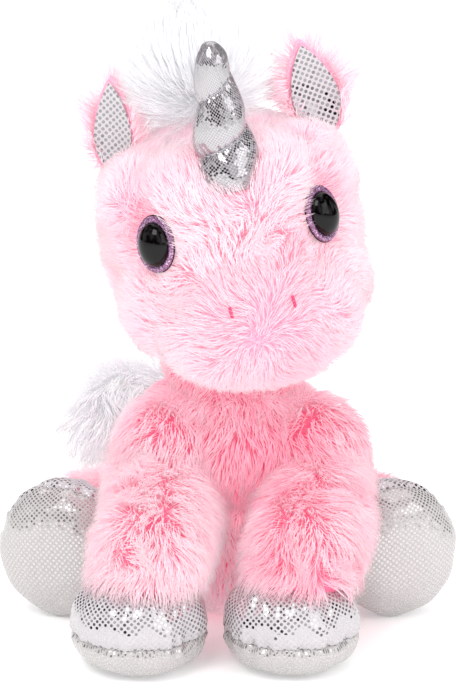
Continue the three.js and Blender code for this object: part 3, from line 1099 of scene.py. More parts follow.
@dataclass
class Torso:
    """The seated torso: a padded pear of fur that is flat under the seat."""

    body: str = "torso"
    nodes: tuple[str, ...] = ("torso_back_panel", "torso_belly_panel", "torso_stuffing", "pellet_bag")
    belly: tuple[float, float, float] = (43, 51, 46)  # half-sizes, mm, less the pile
    belly_height: float = 49 * MM
    seat: tuple[float, float, float] = (40, 49, 24)
    seat_height: float = 26 * MM
    seat_floor: float = 2.2 * MM
    shoulder_spots: tuple[tuple[float, float, float], ...] = ((-24, -24, 80), (35, -24, 80), (5, -24, 85))
    shoulder_round: float = 24
    pile: Pile = Pile(ROSE_PILE, length=12.5 * MM, pitch=1.2 * MM, width=0.62 * MM, curl=1.2 * MM)

    def build(self) -> None:
        """Sews the skin and grows its coat."""
        low, high = both_boxes("torso_back_panel", "torso_belly_panel")
        centre = (low + high) / 2
        lumps = [
            Lump(Vector((0, centre.y, self.belly_height)), tuple(r * MM for r in self.belly)),
            Lump(Vector((0, centre.y, self.seat_height)), tuple(r * MM for r in self.seat)),
        ]
        for spot in self.shoulder_spots:
            lumps.append(Lump(Vector(spot) * MM, (self.shoulder_round * MM,) * 3))
        skin = padded_skin("torso_skin", lumps, smooth=7)
        points = get_points(skin)
        points[:, 2] = np.maximum(points[:, 2], self.seat_floor)
        set_points(skin, points)
        settle(skin, self.body, ROSE_BACKING, self.nodes)

        def trim(roots: Points) -> np.ndarray:
            """Cuts the pile shorter towards the floor.

            Args:
                roots: Where the locks grow.

            Returns:
                Each lock's share of the full length.
            """
            return np.clip((roots[:, 2] - 1 * MM) / (14 * MM), 0.16, 1.0)

        def tone(roots: Points) -> np.ndarray:
            """Pales the left flank, as painted light on the side that the key lamp is on, and deepens the
            chest between the front legs, as painted shade.

            Args:
                roots: Where the locks grow.

            Returns:
                What is added to each lock's tint.
            """
            left = np.clip(-(roots[:, 0] + 6 * MM) / (25 * MM), 0, 1)
            return 0.05 + 0.3 * left - 0.6 * near(roots, (4 * MM, -44 * MM, 84 * MM), 32 * MM)

        coat = Coat("torso_pile", self.pile, seed=11)
        start = (0.0, centre.y, high.z + 20 * MM)
        for piece in coat.grow(skin, combed_from(start, 1.5), trim, tone):
            settle(piece, self.body, ROSE_PILE)


@dataclass
class Neck:
    """The neck: a short padded ring that joins the head to the chest."""

    body: str = "neck"
    pile: Pile = Pile(
        ROSE_PILE, length=13 * MM, pitch=1.12 * MM, width=0.55 * MM, height=0.45, curl=1.2 * MM, tousle=0.9
    )

    def build(self) -> None:
        """Sews the skin and grows its coat."""
        low, high = (Vector(corner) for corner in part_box("neck_sleeve"))
        centre = (low + high) / 2
        wide = (high.x - low.x) / 2 - 4 * MM
        lumps = [
            Lump(Vector((2 * MM, centre.y, low.z + 2 * MM)), (wide, wide * 0.95, 14 * MM)),
            Lump(Vector((3 * MM, centre.y, high.z - 2 * MM)), (wide * 0.9, wide * 0.9, 13 * MM)),
        ]
        skin = padded_skin("neck_skin", lumps, cap=1 * MM)
        settle(skin, self.body, ROSE_BACKING, ("neck_sleeve", "neck_stuffing"))

        def tone(roots: Points) -> np.ndarray:
            """Deepens the chest under the muzzle, as painted shade.

            Args:
                roots: Where the locks grow.

            Returns:
                What is added to each lock's tint.
            """
            front = np.clip(-(roots[:, 1] + 10 * MM) / (25 * MM), 0, 1)
            return 0.35 - 0.7 * front * np.exp(-((roots[:, 0] / (30 * MM)) ** 2))

        coat = Coat("neck_pile", self.pile, seed=12)

        def trim(roots: Points) -> np.ndarray:
            """Cuts the pile shorter under the head.

            Args:
                roots: Where the locks grow.

            Returns:
                Each lock's share of the full length.
            """
            return np.clip(1.0 - (roots[:, 2] - 108 * MM) / (16 * MM), 0.5, 1.0)

        for piece in coat.grow(skin, combed_from((0.0, centre.y, high.z), 2.2), trim, tone):
            settle(piece, self.body, ROSE_PILE)


@dataclass
class Hoof:
    """A stuffed hoof: a foil-dot upper and a sole, gathered into the seam between them."""

    prefix: str  # the stem of its CAD nodes' names
    body: str
    matrix: Matrix  # where it stands: its sole is on Z = 0 and its ankle is above
    seed: int  # of its wrinkles
    radii: tuple[float, float] = (29.6 * MM, 31 * MM)
    height: float = 41 * MM
    seam: float = 16 * MM
    top: float = 23.5 * MM  # how far the upper rises above its widest level, which is just above the seam
    widest: float = 19 * MM
    square_top: float = 2.35  # how much fuller than a ball it is, where 2 is a ball
    square_sole: float = 3.1
    segments: int = 160
    rings: int = 84
    wall: float = 1.2 * MM
    around: float = 29.0  # millimetres of cloth to a radian
    gathers: tuple[int, ...] = (13, 19, 29)  # how many folds of each kind go round it
    fold_depth: float = 0.4 * MM
    ankle_fold: float = 0.45 * MM
    stitch_depth: float = 1.6 * MM  # how far the seam is drawn in
    stitch_wave: float = 1.3 * MM  # how far the folds wander up and down
    phases: np.ndarray = field(init=False)

    def __post_init__(self) -> None:
        """Draws where the folds start."""
        self.phases = np.random.default_rng(self.seed).random((4, 2)) * 2 * math.pi

    def build(self) -> None:
        """Makes the upper and the sole."""
        upper = self.panel(f"{self.prefix}_upper", self.seam, self.height)
        settle(upper, self.body, HOOF_FOIL, (f"{self.prefix}_hoof_upper",))
        sole = self.panel(f"{self.prefix}_sole", 0.0, self.seam)
        settle(sole, self.body, SOLE_CLOTH, (f"{self.prefix}_hoof_sole",))

    def panel(self, name: str, low: float, high: float) -> bpy.types.Object:
        """Cuts one panel from the hoof's rounded shape.

        Args:
            name: The piece's name.
            low: Where it starts above the sole.
            high: Where it ends.

        Returns:
            The panel, as a thin padded shell.
        """
        piece = new_ball(name, self.segments, self.rings)
        ball = get_points(piece)
        ring = np.linalg.norm(ball[:, :2], axis=1)
        power = 2 / np.where(ball[:, 2] > 0, self.square_top, self.square_sole)
        grow = np.where(ring > 1e-6, np.minimum(1.0, ring) ** power / np.maximum(ring, 1e-6), 0.0)
        reach = np.where(ball[:, 2] > 0, self.top, self.widest)
        level = np.sign(ball[:, 2]) * np.abs(ball[:, 2]) ** power * reach + self.widest
        x = ball[:, 0] * grow * self.radii[0]
        y = ball[:, 1] * grow * self.radii[1]
        set_points(piece, np.column_stack([x, y, level]))
        bpy.ops.object.mode_set(mode="EDIT")
        for cut_at, inner in ((low, True), (high, False)):
            if 0 < cut_at:
                bpy.ops.mesh.select_all(action="SELECT")
                bpy.ops.mesh.bisect(
                    plane_co=(0, 0, cut_at), plane_no=(0, 0, 1), clear_inner=inner, clear_outer=not inner
                )
        bpy.ops.object.mode_set(mode="OBJECT")
        self.lay_cloth(piece, low > 0)
        self.wrinkle(piece)
        set_points(piece, place(get_points(piece), self.matrix))
        apply_modifier(piece, "SOLIDIFY", thickness=self.wall, offset=-1.0)
        shade_smooth(piece)
        return piece

    def lay_cloth(self, piece: bpy.types.Object, wall: bool) -> None:
        """Writes the cloth map: round and up on the upper, and spread from its middle on the sole.

        Args:
            piece: The panel.
            wall: Whether it is the upper.
        """
        points = get_points(piece) / MM
        angle = np.arctan2(points[:, 0], -points[:, 1])
        ring = np.linalg.norm(points[:, :2], axis=1)
        if wall:
            inwards = np.clip(self.radii[0] / MM - ring, 0, None)
            wrap_cloth(piece, angle, self.around, points[:, 2] + inwards * 0.45)
            return
        arc = ring + points[:, 2] * 0.75
        spread_cloth(piece, np.column_stack([np.sin(angle) * arc, np.cos(angle) * arc]))

    def wrinkle(self, piece: bpy.types.Object) -> None:
        """Gathers the cloth at the seam and at the ankle, and lets it buckle a little between.

        Args:
            piece: The panel.
        """
        points = get_points(piece)
        normals = get_normals(piece)
        angle = np.arctan2(points[:, 1], points[:, 0])
        wander = self.stitch_wave * np.sin(3 * angle + self.phases[3, 0])
        level = points[:, 2] + wander * bell(points[:, 2], self.seam, 8 * MM)
        seam = bell(level, self.seam, 4.5 * MM)
        ankle = bell(level, self.height, 9 * MM)
        folds = np.zeros(len(points))
        for count, (start, bend) in zip(self.gathers, self.phases[:3], strict=True):
            folds += np.sin(count * angle + start + 2.4 * np.sin(2 * angle + bend))
        buckle = Waves(np.random.default_rng(5), 17 * MM)(points)[:, 0]
        out = self.fold_depth * folds * seam + self.ankle_fold * folds * ankle + self.fold_depth * buckle
        out -= self.stitch_depth * bell(points[:, 2], self.seam, 1.5 * MM)
        out *= np.clip(points[:, 2] / (5 * MM), 0.0, 1.0)
        points += normals * out[:, None]
        points[:, 2] = np.maximum(points[:, 2], 0.4 * MM)
        set_points(piece, points)


@dataclass
class Leg:
    """A leg: a padded fur tube from its joint down to its hoof."""

    prefix: str
    joint: str
    seed: int
    thick: float
    hoof_matrix: Matrix
    bow: float = 0.0  # how far its middle bends to the right
    rounds: int = 6  # of filling, from its joint to just above its hoof
    floor: float = 4 * MM  # how far its skin stays off the ground
    pile: Pile = Pile(
        ROSE_PILE, length=13.5 * MM, pitch=0.95 * MM, height=0.66, curl=1.2 * MM, tousle=0.7, wave=16 * MM
    )

    def build(self, frame: dict) -> None:
        """Sews the skin, grows its coat and adds the hoof.

        Args:
            frame: The loaded frame.
        """
        joint = next(j for j in frame["record"]["behaviour"]["joints"] if j["name"] == self.joint)
        top = Vector(joint["pos_m"])
        axis = self.hoof_matrix.to_3x3() @ Vector((0, 0, 1))
        ankle = self.hoof_matrix @ Vector((0, 0, Hoof.height + 2 * MM))
        inside = self.hoof_matrix @ Vector((0, 0, Hoof.height - 14 * MM))
        core = self.thick - PILE_DEPTH
        elbow = ankle + axis * 8 * MM
        lumps = []
        for share in np.linspace(0, 1, self.rounds):
            centre = top.lerp(elbow, share)
            centre.x += self.bow * min(1.0, 1.6 * share)
            lumps.append(Lump(centre, (core, core, core)))
        bend = Vector((self.bow * 0.6, 0.0, 0.0))
        lumps.append(Lump(ankle + bend, (core * 0.98,) * 3))
        lumps.append(Lump(inside, (core * 0.92,) * 3))
        skin = padded_skin(f"{self.prefix}_skin", lumps, smooth=8, cap=1.5 * MM)
        points = get_points(skin)
        points[:, 2] = np.maximum(points[:, 2], self.floor)
        set_points(skin, points)
        nodes = (f"{self.prefix}_cover", f"{self.prefix}_stuffing")
        settle(skin, self.prefix, ROSE_BACKING, nodes)
        back = np.array(self.hoof_matrix.inverted())

        def trim(roots: Points) -> np.ndarray:
            """Leaves the hoof bare, and cuts the pile shorter at the floor.

            Args:
                roots: Where the locks grow.

            Returns:
                Each lock's share of the full length.
            """
            level = roots @ back[2, :3] + back[2, 3]
            full = np.clip((roots[:, 2] - 1 * MM) / (8 * MM), 0.0, 1.0)
            return np.where(level > Hoof.height + 1.5 * MM, full, 0.0)

        # the middle of the painted shade where the legs face the chest
        inner = np.array([5 * MM, -50 * MM, 80 * MM])

        def tone(roots: Points) -> np.ndarray:
            """Pales the left legs, as painted light on the side that the key lamp is on, and deepens what
            faces the chest, as painted shade between the legs and the chest.

            Args:
                roots: Where the locks grow.

            Returns:
                What is added to each lock's tint.
            """
            pale = 0.55 if roots[:, 0].mean() < 0 else 0.08
            return pale - 0.5 * near(roots, inner, 34 * MM)

        coat = Coat(f"{self.prefix}_pile", self.pile, seed=self.seed)
        start = top + axis * 60 * MM
        for piece in coat.grow(skin, combed_from(start, 0.5), trim, tone):
            settle(piece, self.prefix, ROSE_PILE)
        Hoof(self.prefix, self.prefix, self.hoof_matrix, self.seed + 50).build()


@dataclass
class Head:
    """The head: a padded ball with a broad muzzle, tilted to one side."""

    skull: tuple[float, float, float] = (62, 60, 59)  # half-sizes with the pile, mm
    rounds: tuple[tuple[tuple[float, float, float], tuple[float, float, float]], ...] = (
        ((2.5, -42, -29), (50, 36, 34)),  # the muzzle: each round's middle and half-sizes, mm
        ((1, -30, -35), (44, 40, 29)),
        ((36, -8, 20), (25, 34, 30)),
        ((-36, -8, 20), (25, 34, 30)),
        ((27, -22, -18), (33, 36, 32)),
        ((-27, -22, -18), (33, 36, 32)),
        ((0, -30, 22), (46, 34, 34)),
    )
    socket: tuple[float, float] = (13 * MM, 3.2 * MM)  # how far it reaches, and how deep it is
    brow: tuple[float, float] = (7 * MM, 6.0 * MM)  # the swelling beside an eye: its reach and height
    brow_out: float = 13.5 * MM  # from the eye's middle towards the nose
    nostril_pull: tuple[float, float] = (7 * MM, 1.0 * MM)
    nose: tuple[float, float, float] = (0, -74, -30)
    pile: Pile = Pile(BLUSH_PILE, length=11.5 * MM, pitch=0.98 * MM)
    turn: Matrix = field(init=False)
    matrix: Matrix = field(init=False)

    def __post_init__(self) -> None:
        """Finds the head's own axes from the eyes' rings, and its middle from its panels."""
        left, right = middle("iris_ring_left"), middle("iris_ring_right")
        low, high = both_boxes("head_left_panel", "head_right_panel")
        centre = Vector(((low.x + high.x) / 2, high.y - self.skull[1] * MM, high.z - self.skull[2] * MM))
        across = (right - left).normalized()
        back = Vector((0, 0, 1)).cross(across).normalized()
        up = across.cross(back)
        turn = Matrix((across, back, up)).transposed()
        self.turn = turn
        self.matrix = Matrix.Translation(centre) @ turn.to_4x4()

    def at(self, x: float, y: float, z: float) -> Vector:
        """A place in the head's own axes, in millimetres, as a place in the frame."""
        return self.matrix @ Vector((x * MM, y * MM, z * MM))

    def local(self, points: Points) -> Points:
        """Points of the frame in the head's own axes, in metres."""
        return place(points, self.matrix.inverted())

    def build(self) -> None:
        """Sews the skin, grows its coat and adds the face, the horn, the ears and the mane."""
        skin = self.skin()
        self.coat(skin)
        for side in Side:
            Eye(self, side).build()
            Nostril(self, side).build()
            Ear(self, side).build()
        Horn(self).build()
        Mane(self).build()

    def lump(self, centre: tuple[float, float, float], radii: tuple[float, float, float]) -> Lump:
        """A lump in the head's own axes, in millimetres, less the depth of the pile."""
        return Lump(self.at(*centre), tuple(r * MM - PILE_DEPTH for r in radii), self.turn)

    def skin(self) -> bpy.types.Object:
        """Sews the head's skin, with its eye sockets and its pulled-in nostrils.

        Returns:
            The skin.
        """
        lumps = [self.lump((0, 0, 0), self.skull)]
        lumps += [self.lump(centre, radii) for centre, radii in self.rounds]
        skin = padded_skin("head_skin", lumps, smooth=8, cap=2 * MM)
        points = get_points(skin)
        for side in Side:
            eye = Eye(self, side)
            outward = np.array(eye.facing)
            points -= np.outer(near(points, eye.centre, self.socket[0]), outward) * self.socket[1]
            brow = eye.centre - eye.across * side.value * self.brow_out
            points += np.outer(near(points, brow, self.brow[0]), outward) * self.brow[1]
            pull = near(points, Nostril(self, side).centre, self.nostril_pull[0])
            points -= np.outer(pull, -np.array(self.turn.col[1])) * self.nostril_pull[1]
        points[:, 2] = np.maximum(points[:, 2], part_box("head_left_panel")[0][2] + 2 * MM)
        set_points(skin, points)
        nodes = ("head_left_panel", "head_right_panel", "head_stuffing")
        settle(skin, "head", BLUSH_BACKING, nodes)
        return skin

    def coat(self, skin: bpy.types.Object) -> None:
        """Grows the head's coat: shorter round the eyes, the nostrils and the nose.

        Args:
            skin: The head's skin.
        """
        eyes = [Eye(self, side) for side in Side]
        spots = [Nostril(self, side).centre for side in Side]
        horn = self.at(*Horn.spot)
        nose = self.at(*self.nose)

        def comb(points: Points, normals: Points) -> Points:
            """Draws the pile away from the nose, round the eyes and nostrils and up to the horn.

            Args:
                points: Where the pile grows.
                normals: Which way the skin faces there. Not used.

            Returns:
                The way that it lies.
            """
            lay = unit(points - np.array(nose)) + np.array([0.0, 0.0, -0.2])
            for eye in eyes:
                lay += eye.comb(points)
            for spot in spots:
                lay += 1.2 * near(points, spot, 6 * MM)[:, None] * unit(points - np.array(spot))
            lay += 1.2 * near(points, horn, 22 * MM)[:, None] * np.array(self.turn.col[2])
            return lay

        def trim(roots: Points) -> np.ndarray:
            """Cuts the pile shorter on the nose and round the eyes, the nostrils and the horn.

            Args:
                roots: Where the locks grow.

            Returns:
                Each lock's share of the full length.
            """
            here = self.local(roots) / MM
            share = np.ones(len(roots))
            front = np.clip((-here[:, 1] - 40) / 30, 0, 1) * np.clip((10 - here[:, 2]) / 20, 0, 1)
            share -= 0.25 * front
            for eye in eyes:
                share = np.minimum(share, eye.pile_share(roots))
            for spot in spots:
                share *= 1 - 0.85 * near(roots, spot, 5 * MM)
            away = np.linalg.norm(roots - np.array(horn), axis=1)
            return np.where(away < 12 * MM, 0.0, share * np.clip((away - 6 * MM) / (14 * MM), 0.5, 1.0))

        def tone(roots: Points) -> np.ndarray:
            """Deepens the nose, and paints shade under the chin and in the hollows round the eyes and
            nostrils.

            Args:
                roots: Where the locks grow.

            Returns:
                What is added to each lock's tint.
            """
            dark = -0.55 * near(roots, self.at(8, -72, -24), 28 * MM)
            dark -= 0.4 * np.clip((-self.local(roots)[:, 2] / MM - 36) / 20, 0, 1)
            for eye in eyes:
                outer = np.array(eye.centre + eye.across * eye.side.value * 10 * MM)
                dark -= 0.5 * near(roots, outer, 12 * MM)
            for spot in spots:
                dark -= 0.45 * near(roots, spot, 8 * MM)
            return dark

        coat = Coat("head_pile", self.pile, seed=21)
        for piece in coat.grow(skin, comb, trim, tone):
            settle(piece, "head", BLUSH_PILE)


@dataclass
class Eye:
    """A safety eye: an oval black dome in a ring of purple glitter."""

    head: Head
    side: Side
    half_width: float = 9.6 * MM
    half_height: float = 12 * MM
    ring_width: float = 2.6 * MM
    splay: float = 7.0  # how far its long way leans outwards, in degrees
    dome_share: float = 0.62  # how far the dome stands out, as a share of a ball
    back_share: float = 0.35
    nose_side: float = 0.35  # where the pile starts to fall over the eye's edge
    centre: Vector = field(init=False)
    facing: Vector = field(init=False)
    across: Vector = field(init=False)
    up: Vector = field(init=False)
    matrix: Matrix = field(init=False)

    def __post_init__(self) -> None:
        """Finds the eye's place and the way it looks from its ring and its washer."""
        word = self.side.word
        ring, washer = middle(f"iris_ring_{word}"), middle(f"eye_washer_{word}")
        self.facing = (ring - washer).normalized()
        self.centre = ring
        across = self.head.turn.col[2].cross(self.facing).normalized()
        turn = Matrix.Rotation(math.radians(self.splay * self.side.value), 3, self.facing)
        self.across = turn @ across
        self.up = self.facing.cross(self.across)
        axes = Matrix((self.across, self.up, self.facing)).transposed().to_4x4()
        self.matrix = Matrix.Translation(self.centre) @ axes

    def inner(self, points: Points) -> np.ndarray:
        """How far points lie towards the nose from the eye's middle, as a share of its half-width.

        Args:
            points: Points of the frame.

        Returns:
            Their shares, from -1 at the outer edge to 1.
        """
        here = place(points, self.matrix.inverted())
        return np.clip(-here[:, 0] * self.side.value / self.half_width, -1.0, 1.0)

    def comb(self, points: Points) -> Points:
        """The pile parts round the eye, and falls over its edge on the side of the nose.

        Args:
            points: Where the pile grows.

        Returns:
            What is added to the way that it lies.
        """
        away = unit(points - np.array(self.centre))
        outwards = np.where(self.inner(points) > self.nose_side, -2.2, 1.6)
        return (near(points, self.centre, 15 * MM) * outwards)[:, None] * away

    def pile_share(self, roots: Points) -> np.ndarray:
        """How long the pile may be near the eye: none under it, short at its outer edge.

        Args:
            roots: Where the locks grow.

        Returns:
            Each lock's share of the full length.
        """
        here = place(roots, self.matrix.inverted())
        away = np.hypot(here[:, 0] / (self.half_width + 0.6 * MM), here[:, 1] / (self.half_height + 0.6 * MM))
        depth = np.abs(here[:, 2]) < 20 * MM
        least = np.where(self.inner(roots) > self.nose_side, 0.9, 0.35)
        share = np.clip((away - 1.0) / 0.8, 0.0, 1.0) * (1 - least) + least
        return np.where(depth & (away < 1.0), 0.0, np.where(depth, share, 1.0))

    def build(self) -> None:
        """Makes the dome, the glitter ring and the dark rim round it."""
        word = self.side.word
        squash = self.half_width / self.half_height
        dome = new_ball(f"eye_dome_{word}", 64, 40, self.half_height - self.ring_width * 0.9)
        points = get_points(dome)
        points[:, 0] *= squash * 0.98
        points[:, 2] *= np.where(points[:, 2] > 0, self.dome_share, self.back_share)
        points[:, 2] += 0.6 * MM
        set_points(dome, place(points, self.matrix))
        shade_smooth(dome)
        settle(dome, "head", EYE_PLASTIC, (f"eye_{word}", f"eye_washer_{word}"))
        middle_line = self.half_height - self.ring_width * 0.55
        self.ring(f"iris_{word}", middle_line, self.ring_width * 0.62, 0.2 * MM, GLITTER)
        self.ring(f"eye_rim_{word}", self.half_height + 0.05 * MM, 0.5 * MM, -0.3 * MM, EYE_PLASTIC)

    def ring(self, name: str, major: float, minor: float, level: float, finish: Finish) -> None:
        """Makes one oval ring round the dome.

        Args:
            name: The piece's name.
            major: The radius of the ring's middle line, the long way.
            minor: Half the ring's width.
            level: How far it lies in front of the eye's middle.
            finish: Its finish.
        """
        deselect()
        bpy.ops.mesh.primitive_torus_add(
            major_segments=72, minor_segments=16, major_radius=major, minor_radius=minor
        )
        piece = bpy.context.object
        piece.name = name
        points = get_points(piece)
        points[:, 0] *= self.half_width / self.half_height
        points[:, 2] = points[:, 2] * 0.75 + level
        set_points(piece, place(points, self.matrix))
        shade_smooth(piece)
        nodes = (f"iris_ring_{self.side.word}",) if finish is GLITTER else ()
        settle(piece, "head", finish, nodes)


@dataclass
class Nostril:
    """A nostril: a short, nearly upright bar of satin stitch that pulls the muzzle in."""

    head: Head
    side: Side
    length: float = 6.0 * MM
    radius: float = 0.6 * MM
    lean: float = -6.0  # in degrees
    sunk: float = 6.5 * MM  # how far it lies behind its place on the frame, down in the pile
    centre: Vector = field(init=False)

    def __post_init__(self) -> None:
        """Finds the nostril on the frame."""
        self.centre = middle(f"nostril_stitch_{self.side.word}")

    def build(self) -> None:
        """Makes the bar from three stitches laid side by side."""
        forward = -self.head.turn.col[1]
        lean = Matrix.Rotation(math.radians(self.lean), 3, "Y")
        along = (self.head.turn @ (lean @ Vector((0, 0, 1)))).normalized()
        beside = along.cross(forward).normalized()
        stitches = []
        for number in (-1, 0, 1):
            stitch = new_ball(f"nostril_{self.side.word}", 16, 12)
            points = get_points(stitch)
            length = self.length * (1.0 - 0.12 * abs(number)) / 2
            points = (
                np.outer(points[:, 2] * length, along)
                + np.outer(points[:, 0] * self.radius * 0.6 + number * self.radius * 0.7, beside)
                + np.outer(points[:, 1] * self.radius, forward)
            )
            set_points(stitch, points + np.array(self.centre - forward * self.sunk))
            stitches.append(stitch)
        pick(*stitches)
        bpy.ops.object.join()
        bar = bpy.context.object
        shade_smooth(bar)
        settle(bar, "head", NOSTRIL_THREAD, (f"nostril_stitch_{self.side.word}",))


@dataclass(frozen=True)
class EarCut:
    """How one ear differs from the other."""

    turn: float  # how far it faces outwards, in degrees
    slim: float  # its width as a share of the pattern's
    depth: float  # how deep its scoop is


EAR_CUTS = {Side.LEFT: EarCut(28.0, 0.86, 3.0 * MM), Side.RIGHT: EarCut(6.0, 1.02, 4.0 * MM)}


@dataclass
class Ear:
    """An ear: a cupped padded leaf with pile on its back and rim, and a foil-dot lining in front."""

    head: Head
    side: Side
    hinge: tuple[float, float] = (41, 4)  # where it is sewn to the head, mm
    low_point: tuple[float, float] = (9.5, 29)  # across from there, and up from the head's middle, mm
    high_point: tuple[float, float] = (3, 84)
    half_width: float = 15.5 * MM
    lined: float = 0.66  # the lining's share of the ear's width
    lift: float = 1.5 * MM  # how far the lining stands in front of the padding
    pile: Pile = Pile(BLUSH_PILE, length=12 * MM, pitch=0.75 * MM, width=0.45 * MM, height=0.85, tousle=0.5)
    cut: EarCut = field(init=False)
    base: Vector = field(init=False)
    up: Vector = field(init=False)
    across: Vector = field(init=False)
    front: Vector = field(init=False)
    length: float = field(init=False)

    def __post_init__(self) -> None:
        """Finds the ear's own axes, and moves it to the middle of its CAD node."""
        self.cut = EAR_CUTS[self.side]
        sign = self.side.value
        turn = math.radians(self.cut.turn) * sign
        across = Vector((math.cos(turn), math.sin(turn), 0.0)) * sign
        hinge = Vector((self.hinge[0] * sign, self.hinge[1], 0.0))
        low = hinge + across * self.low_point[0]
        high = hinge + across * self.high_point[0]
        self.base = self.head.at(low.x, low.y, self.low_point[1])
        tip = self.head.at(high.x, high.y, self.high_point[1])
        shift = middle(f"ear_{self.side.word}_back") - (self.base + tip) / 2
        self.base += shift
        tip += shift
        self.up = (tip - self.base).normalized()
        out = self.head.turn @ across
        self.across = (out - self.up * out.dot(self.up)).normalized()
        front = self.across.cross(self.up) if sign > 0 else self.up.cross(self.across)
        self.front = front.normalized()
        self.length = (tip - self.base).length

    def outline(self, t: np.ndarray) -> np.ndarray:
        """The ear's half-width at shares of its height: a leaf that is widest below its middle.

        Args:
            t: Shares of its height.

        Returns:
            Its half-width at each.
        """
        leaf = np.sin(np.pi * np.clip(t, 0, 1) ** 0.8) ** 0.8
        return leaf * self.half_width * self.cut.slim

    def cup(self, x: np.ndarray, t: np.ndarray) -> np.ndarray:
        """How far forward the ear's middle layer lies: its sides curl forward, as a scoop.

        Args:
            x: Places across it.
            t: Shares of its height.

        Returns:
            Its depth at each.
        """
        share = x / (self.half_width * self.cut.slim)
        return self.cut.depth * (share**2 * 1.3 - 0.75 * np.sin(np.pi * np.clip(t, 0, 1)))

    def build(self) -> None:
        """Makes the padded back with its coat, and the lining."""
        word = self.side.word
        body = f"ear_{word}"
        back = self.leaf(f"ear_{word}_skin", 0.8, 1.6 * MM, 0.0)
        settle(back, body, BLUSH_BACKING, (f"ear_{word}_back",))
        lining = self.leaf(f"ear_{word}_foil", self.lined, 0.45 * MM, self.lift + 0.9 * MM)
        points = get_points(lining) - np.array(self.base)
        spread = np.column_stack([points @ np.array(self.across), points @ np.array(self.up)])
        spread_cloth(lining, spread / MM)
        settle(lining, body, EAR_FOIL, (f"ear_{word}_lining",))
        self.coat(back, body)

    def coat(self, back: bpy.types.Object, body: str) -> None:
        """Grows the pile of the back, which stands out all round the rim and leaves the lining bare.

        Args:
            back: The padded back.
            body: The ear's body.
        """
        facing, base, up, across = (np.array(v) for v in (self.front, self.base, self.up, self.across))

        def parts(points: Points) -> tuple[np.ndarray, np.ndarray, np.ndarray]:
            """Takes points apart in the ear's own axes.

            Args:
                points: Points of the frame.

            Returns:
                Their shares of its height, their places across it, and how far they lie in front of it.
            """
            here = points - base
            t, x = here @ up / self.length, here @ across
            return t, x, here @ facing - self.cup(x, t)

        def comb(points: Points, normals: Points) -> Points:
            """Draws the pile out over the rim and up to the tip.

            Args:
                points: Where the pile grows.
                normals: Which way the skin faces there. Not used.

            Returns:
                The way that it lies.
            """
            t, x, depth = parts(points)
            out = (x / (self.half_width * 0.8))[:, None] * across
            way = np.where(depth > 0.3 * MM, -0.9, 1.0)[:, None]
            return out * way + up * (0.4 + 0.8 * t)[:, None] + facing * 0.35

        def trim(roots: Points) -> np.ndarray:
            """Leaves the lining bare, with short pile round it.

            Args:
                roots: Where the locks grow.

            Returns:
                Each lock's share of the full length.
            """
            t, x, depth = parts(roots)
            edge = np.abs(x) / np.maximum(self.outline(t), 1e-4)
            bare = (depth > -0.2 * MM) & (edge < self.lined - 0.04) & (t > 0.07) & (t < 0.88)
            return np.where(bare, 0.0, np.where(depth > 0.3 * MM, 0.42, 1.0))

        grown = Coat(f"ear_{self.side.word}_pile", self.pile, seed=31 + self.side.value)
        for piece in grown.grow(back, comb, trim, lambda roots: np.full(len(roots), -0.1)):
            settle(piece, body, BLUSH_PILE)

    def leaf(self, name: str, wide: float, thick: float, front: float) -> bpy.types.Object:
        """Makes a cupped leaf-shaped pad from a ball.

        Args:
            name: The piece's name.
            wide: Its share of the ear's outline.
            thick: Half its thickness.
            front: How far it lies in front of the ear's middle layer.

        Returns:
            The mesh object.
        """
        piece = new_ball(name, 56, 48)
        ball = get_points(piece)
        t = (ball[:, 2] + 1) / 2
        ring = np.maximum(np.hypot(ball[:, 0], ball[:, 1]), 1e-6)
        height = 0.46 + (t - 0.5) * (0.25 + 0.75 * wide)
        x = ball[:, 0] / ring * self.outline(t) * wide
        depth = ball[:, 1] / ring * thick * np.minimum(1.0, 6 * t * (1 - t)) ** 0.5
        depth += front + self.cup(x, height)
        points = (
            np.array(self.base)
            + np.outer(height * self.length, self.up)
            + np.outer(x, self.across)
            + np.outer(depth, self.front)
        )
        set_points(piece, points)
        pick(piece)
        bpy.ops.object.mode_set(mode="EDIT")
        bpy.ops.mesh.select_all(action="SELECT")
        bpy.ops.mesh.normals_make_consistent(inside=False)
        bpy.ops.object.mode_set(mode="OBJECT")
        bpy.ops.object.shade_smooth()
        return piece


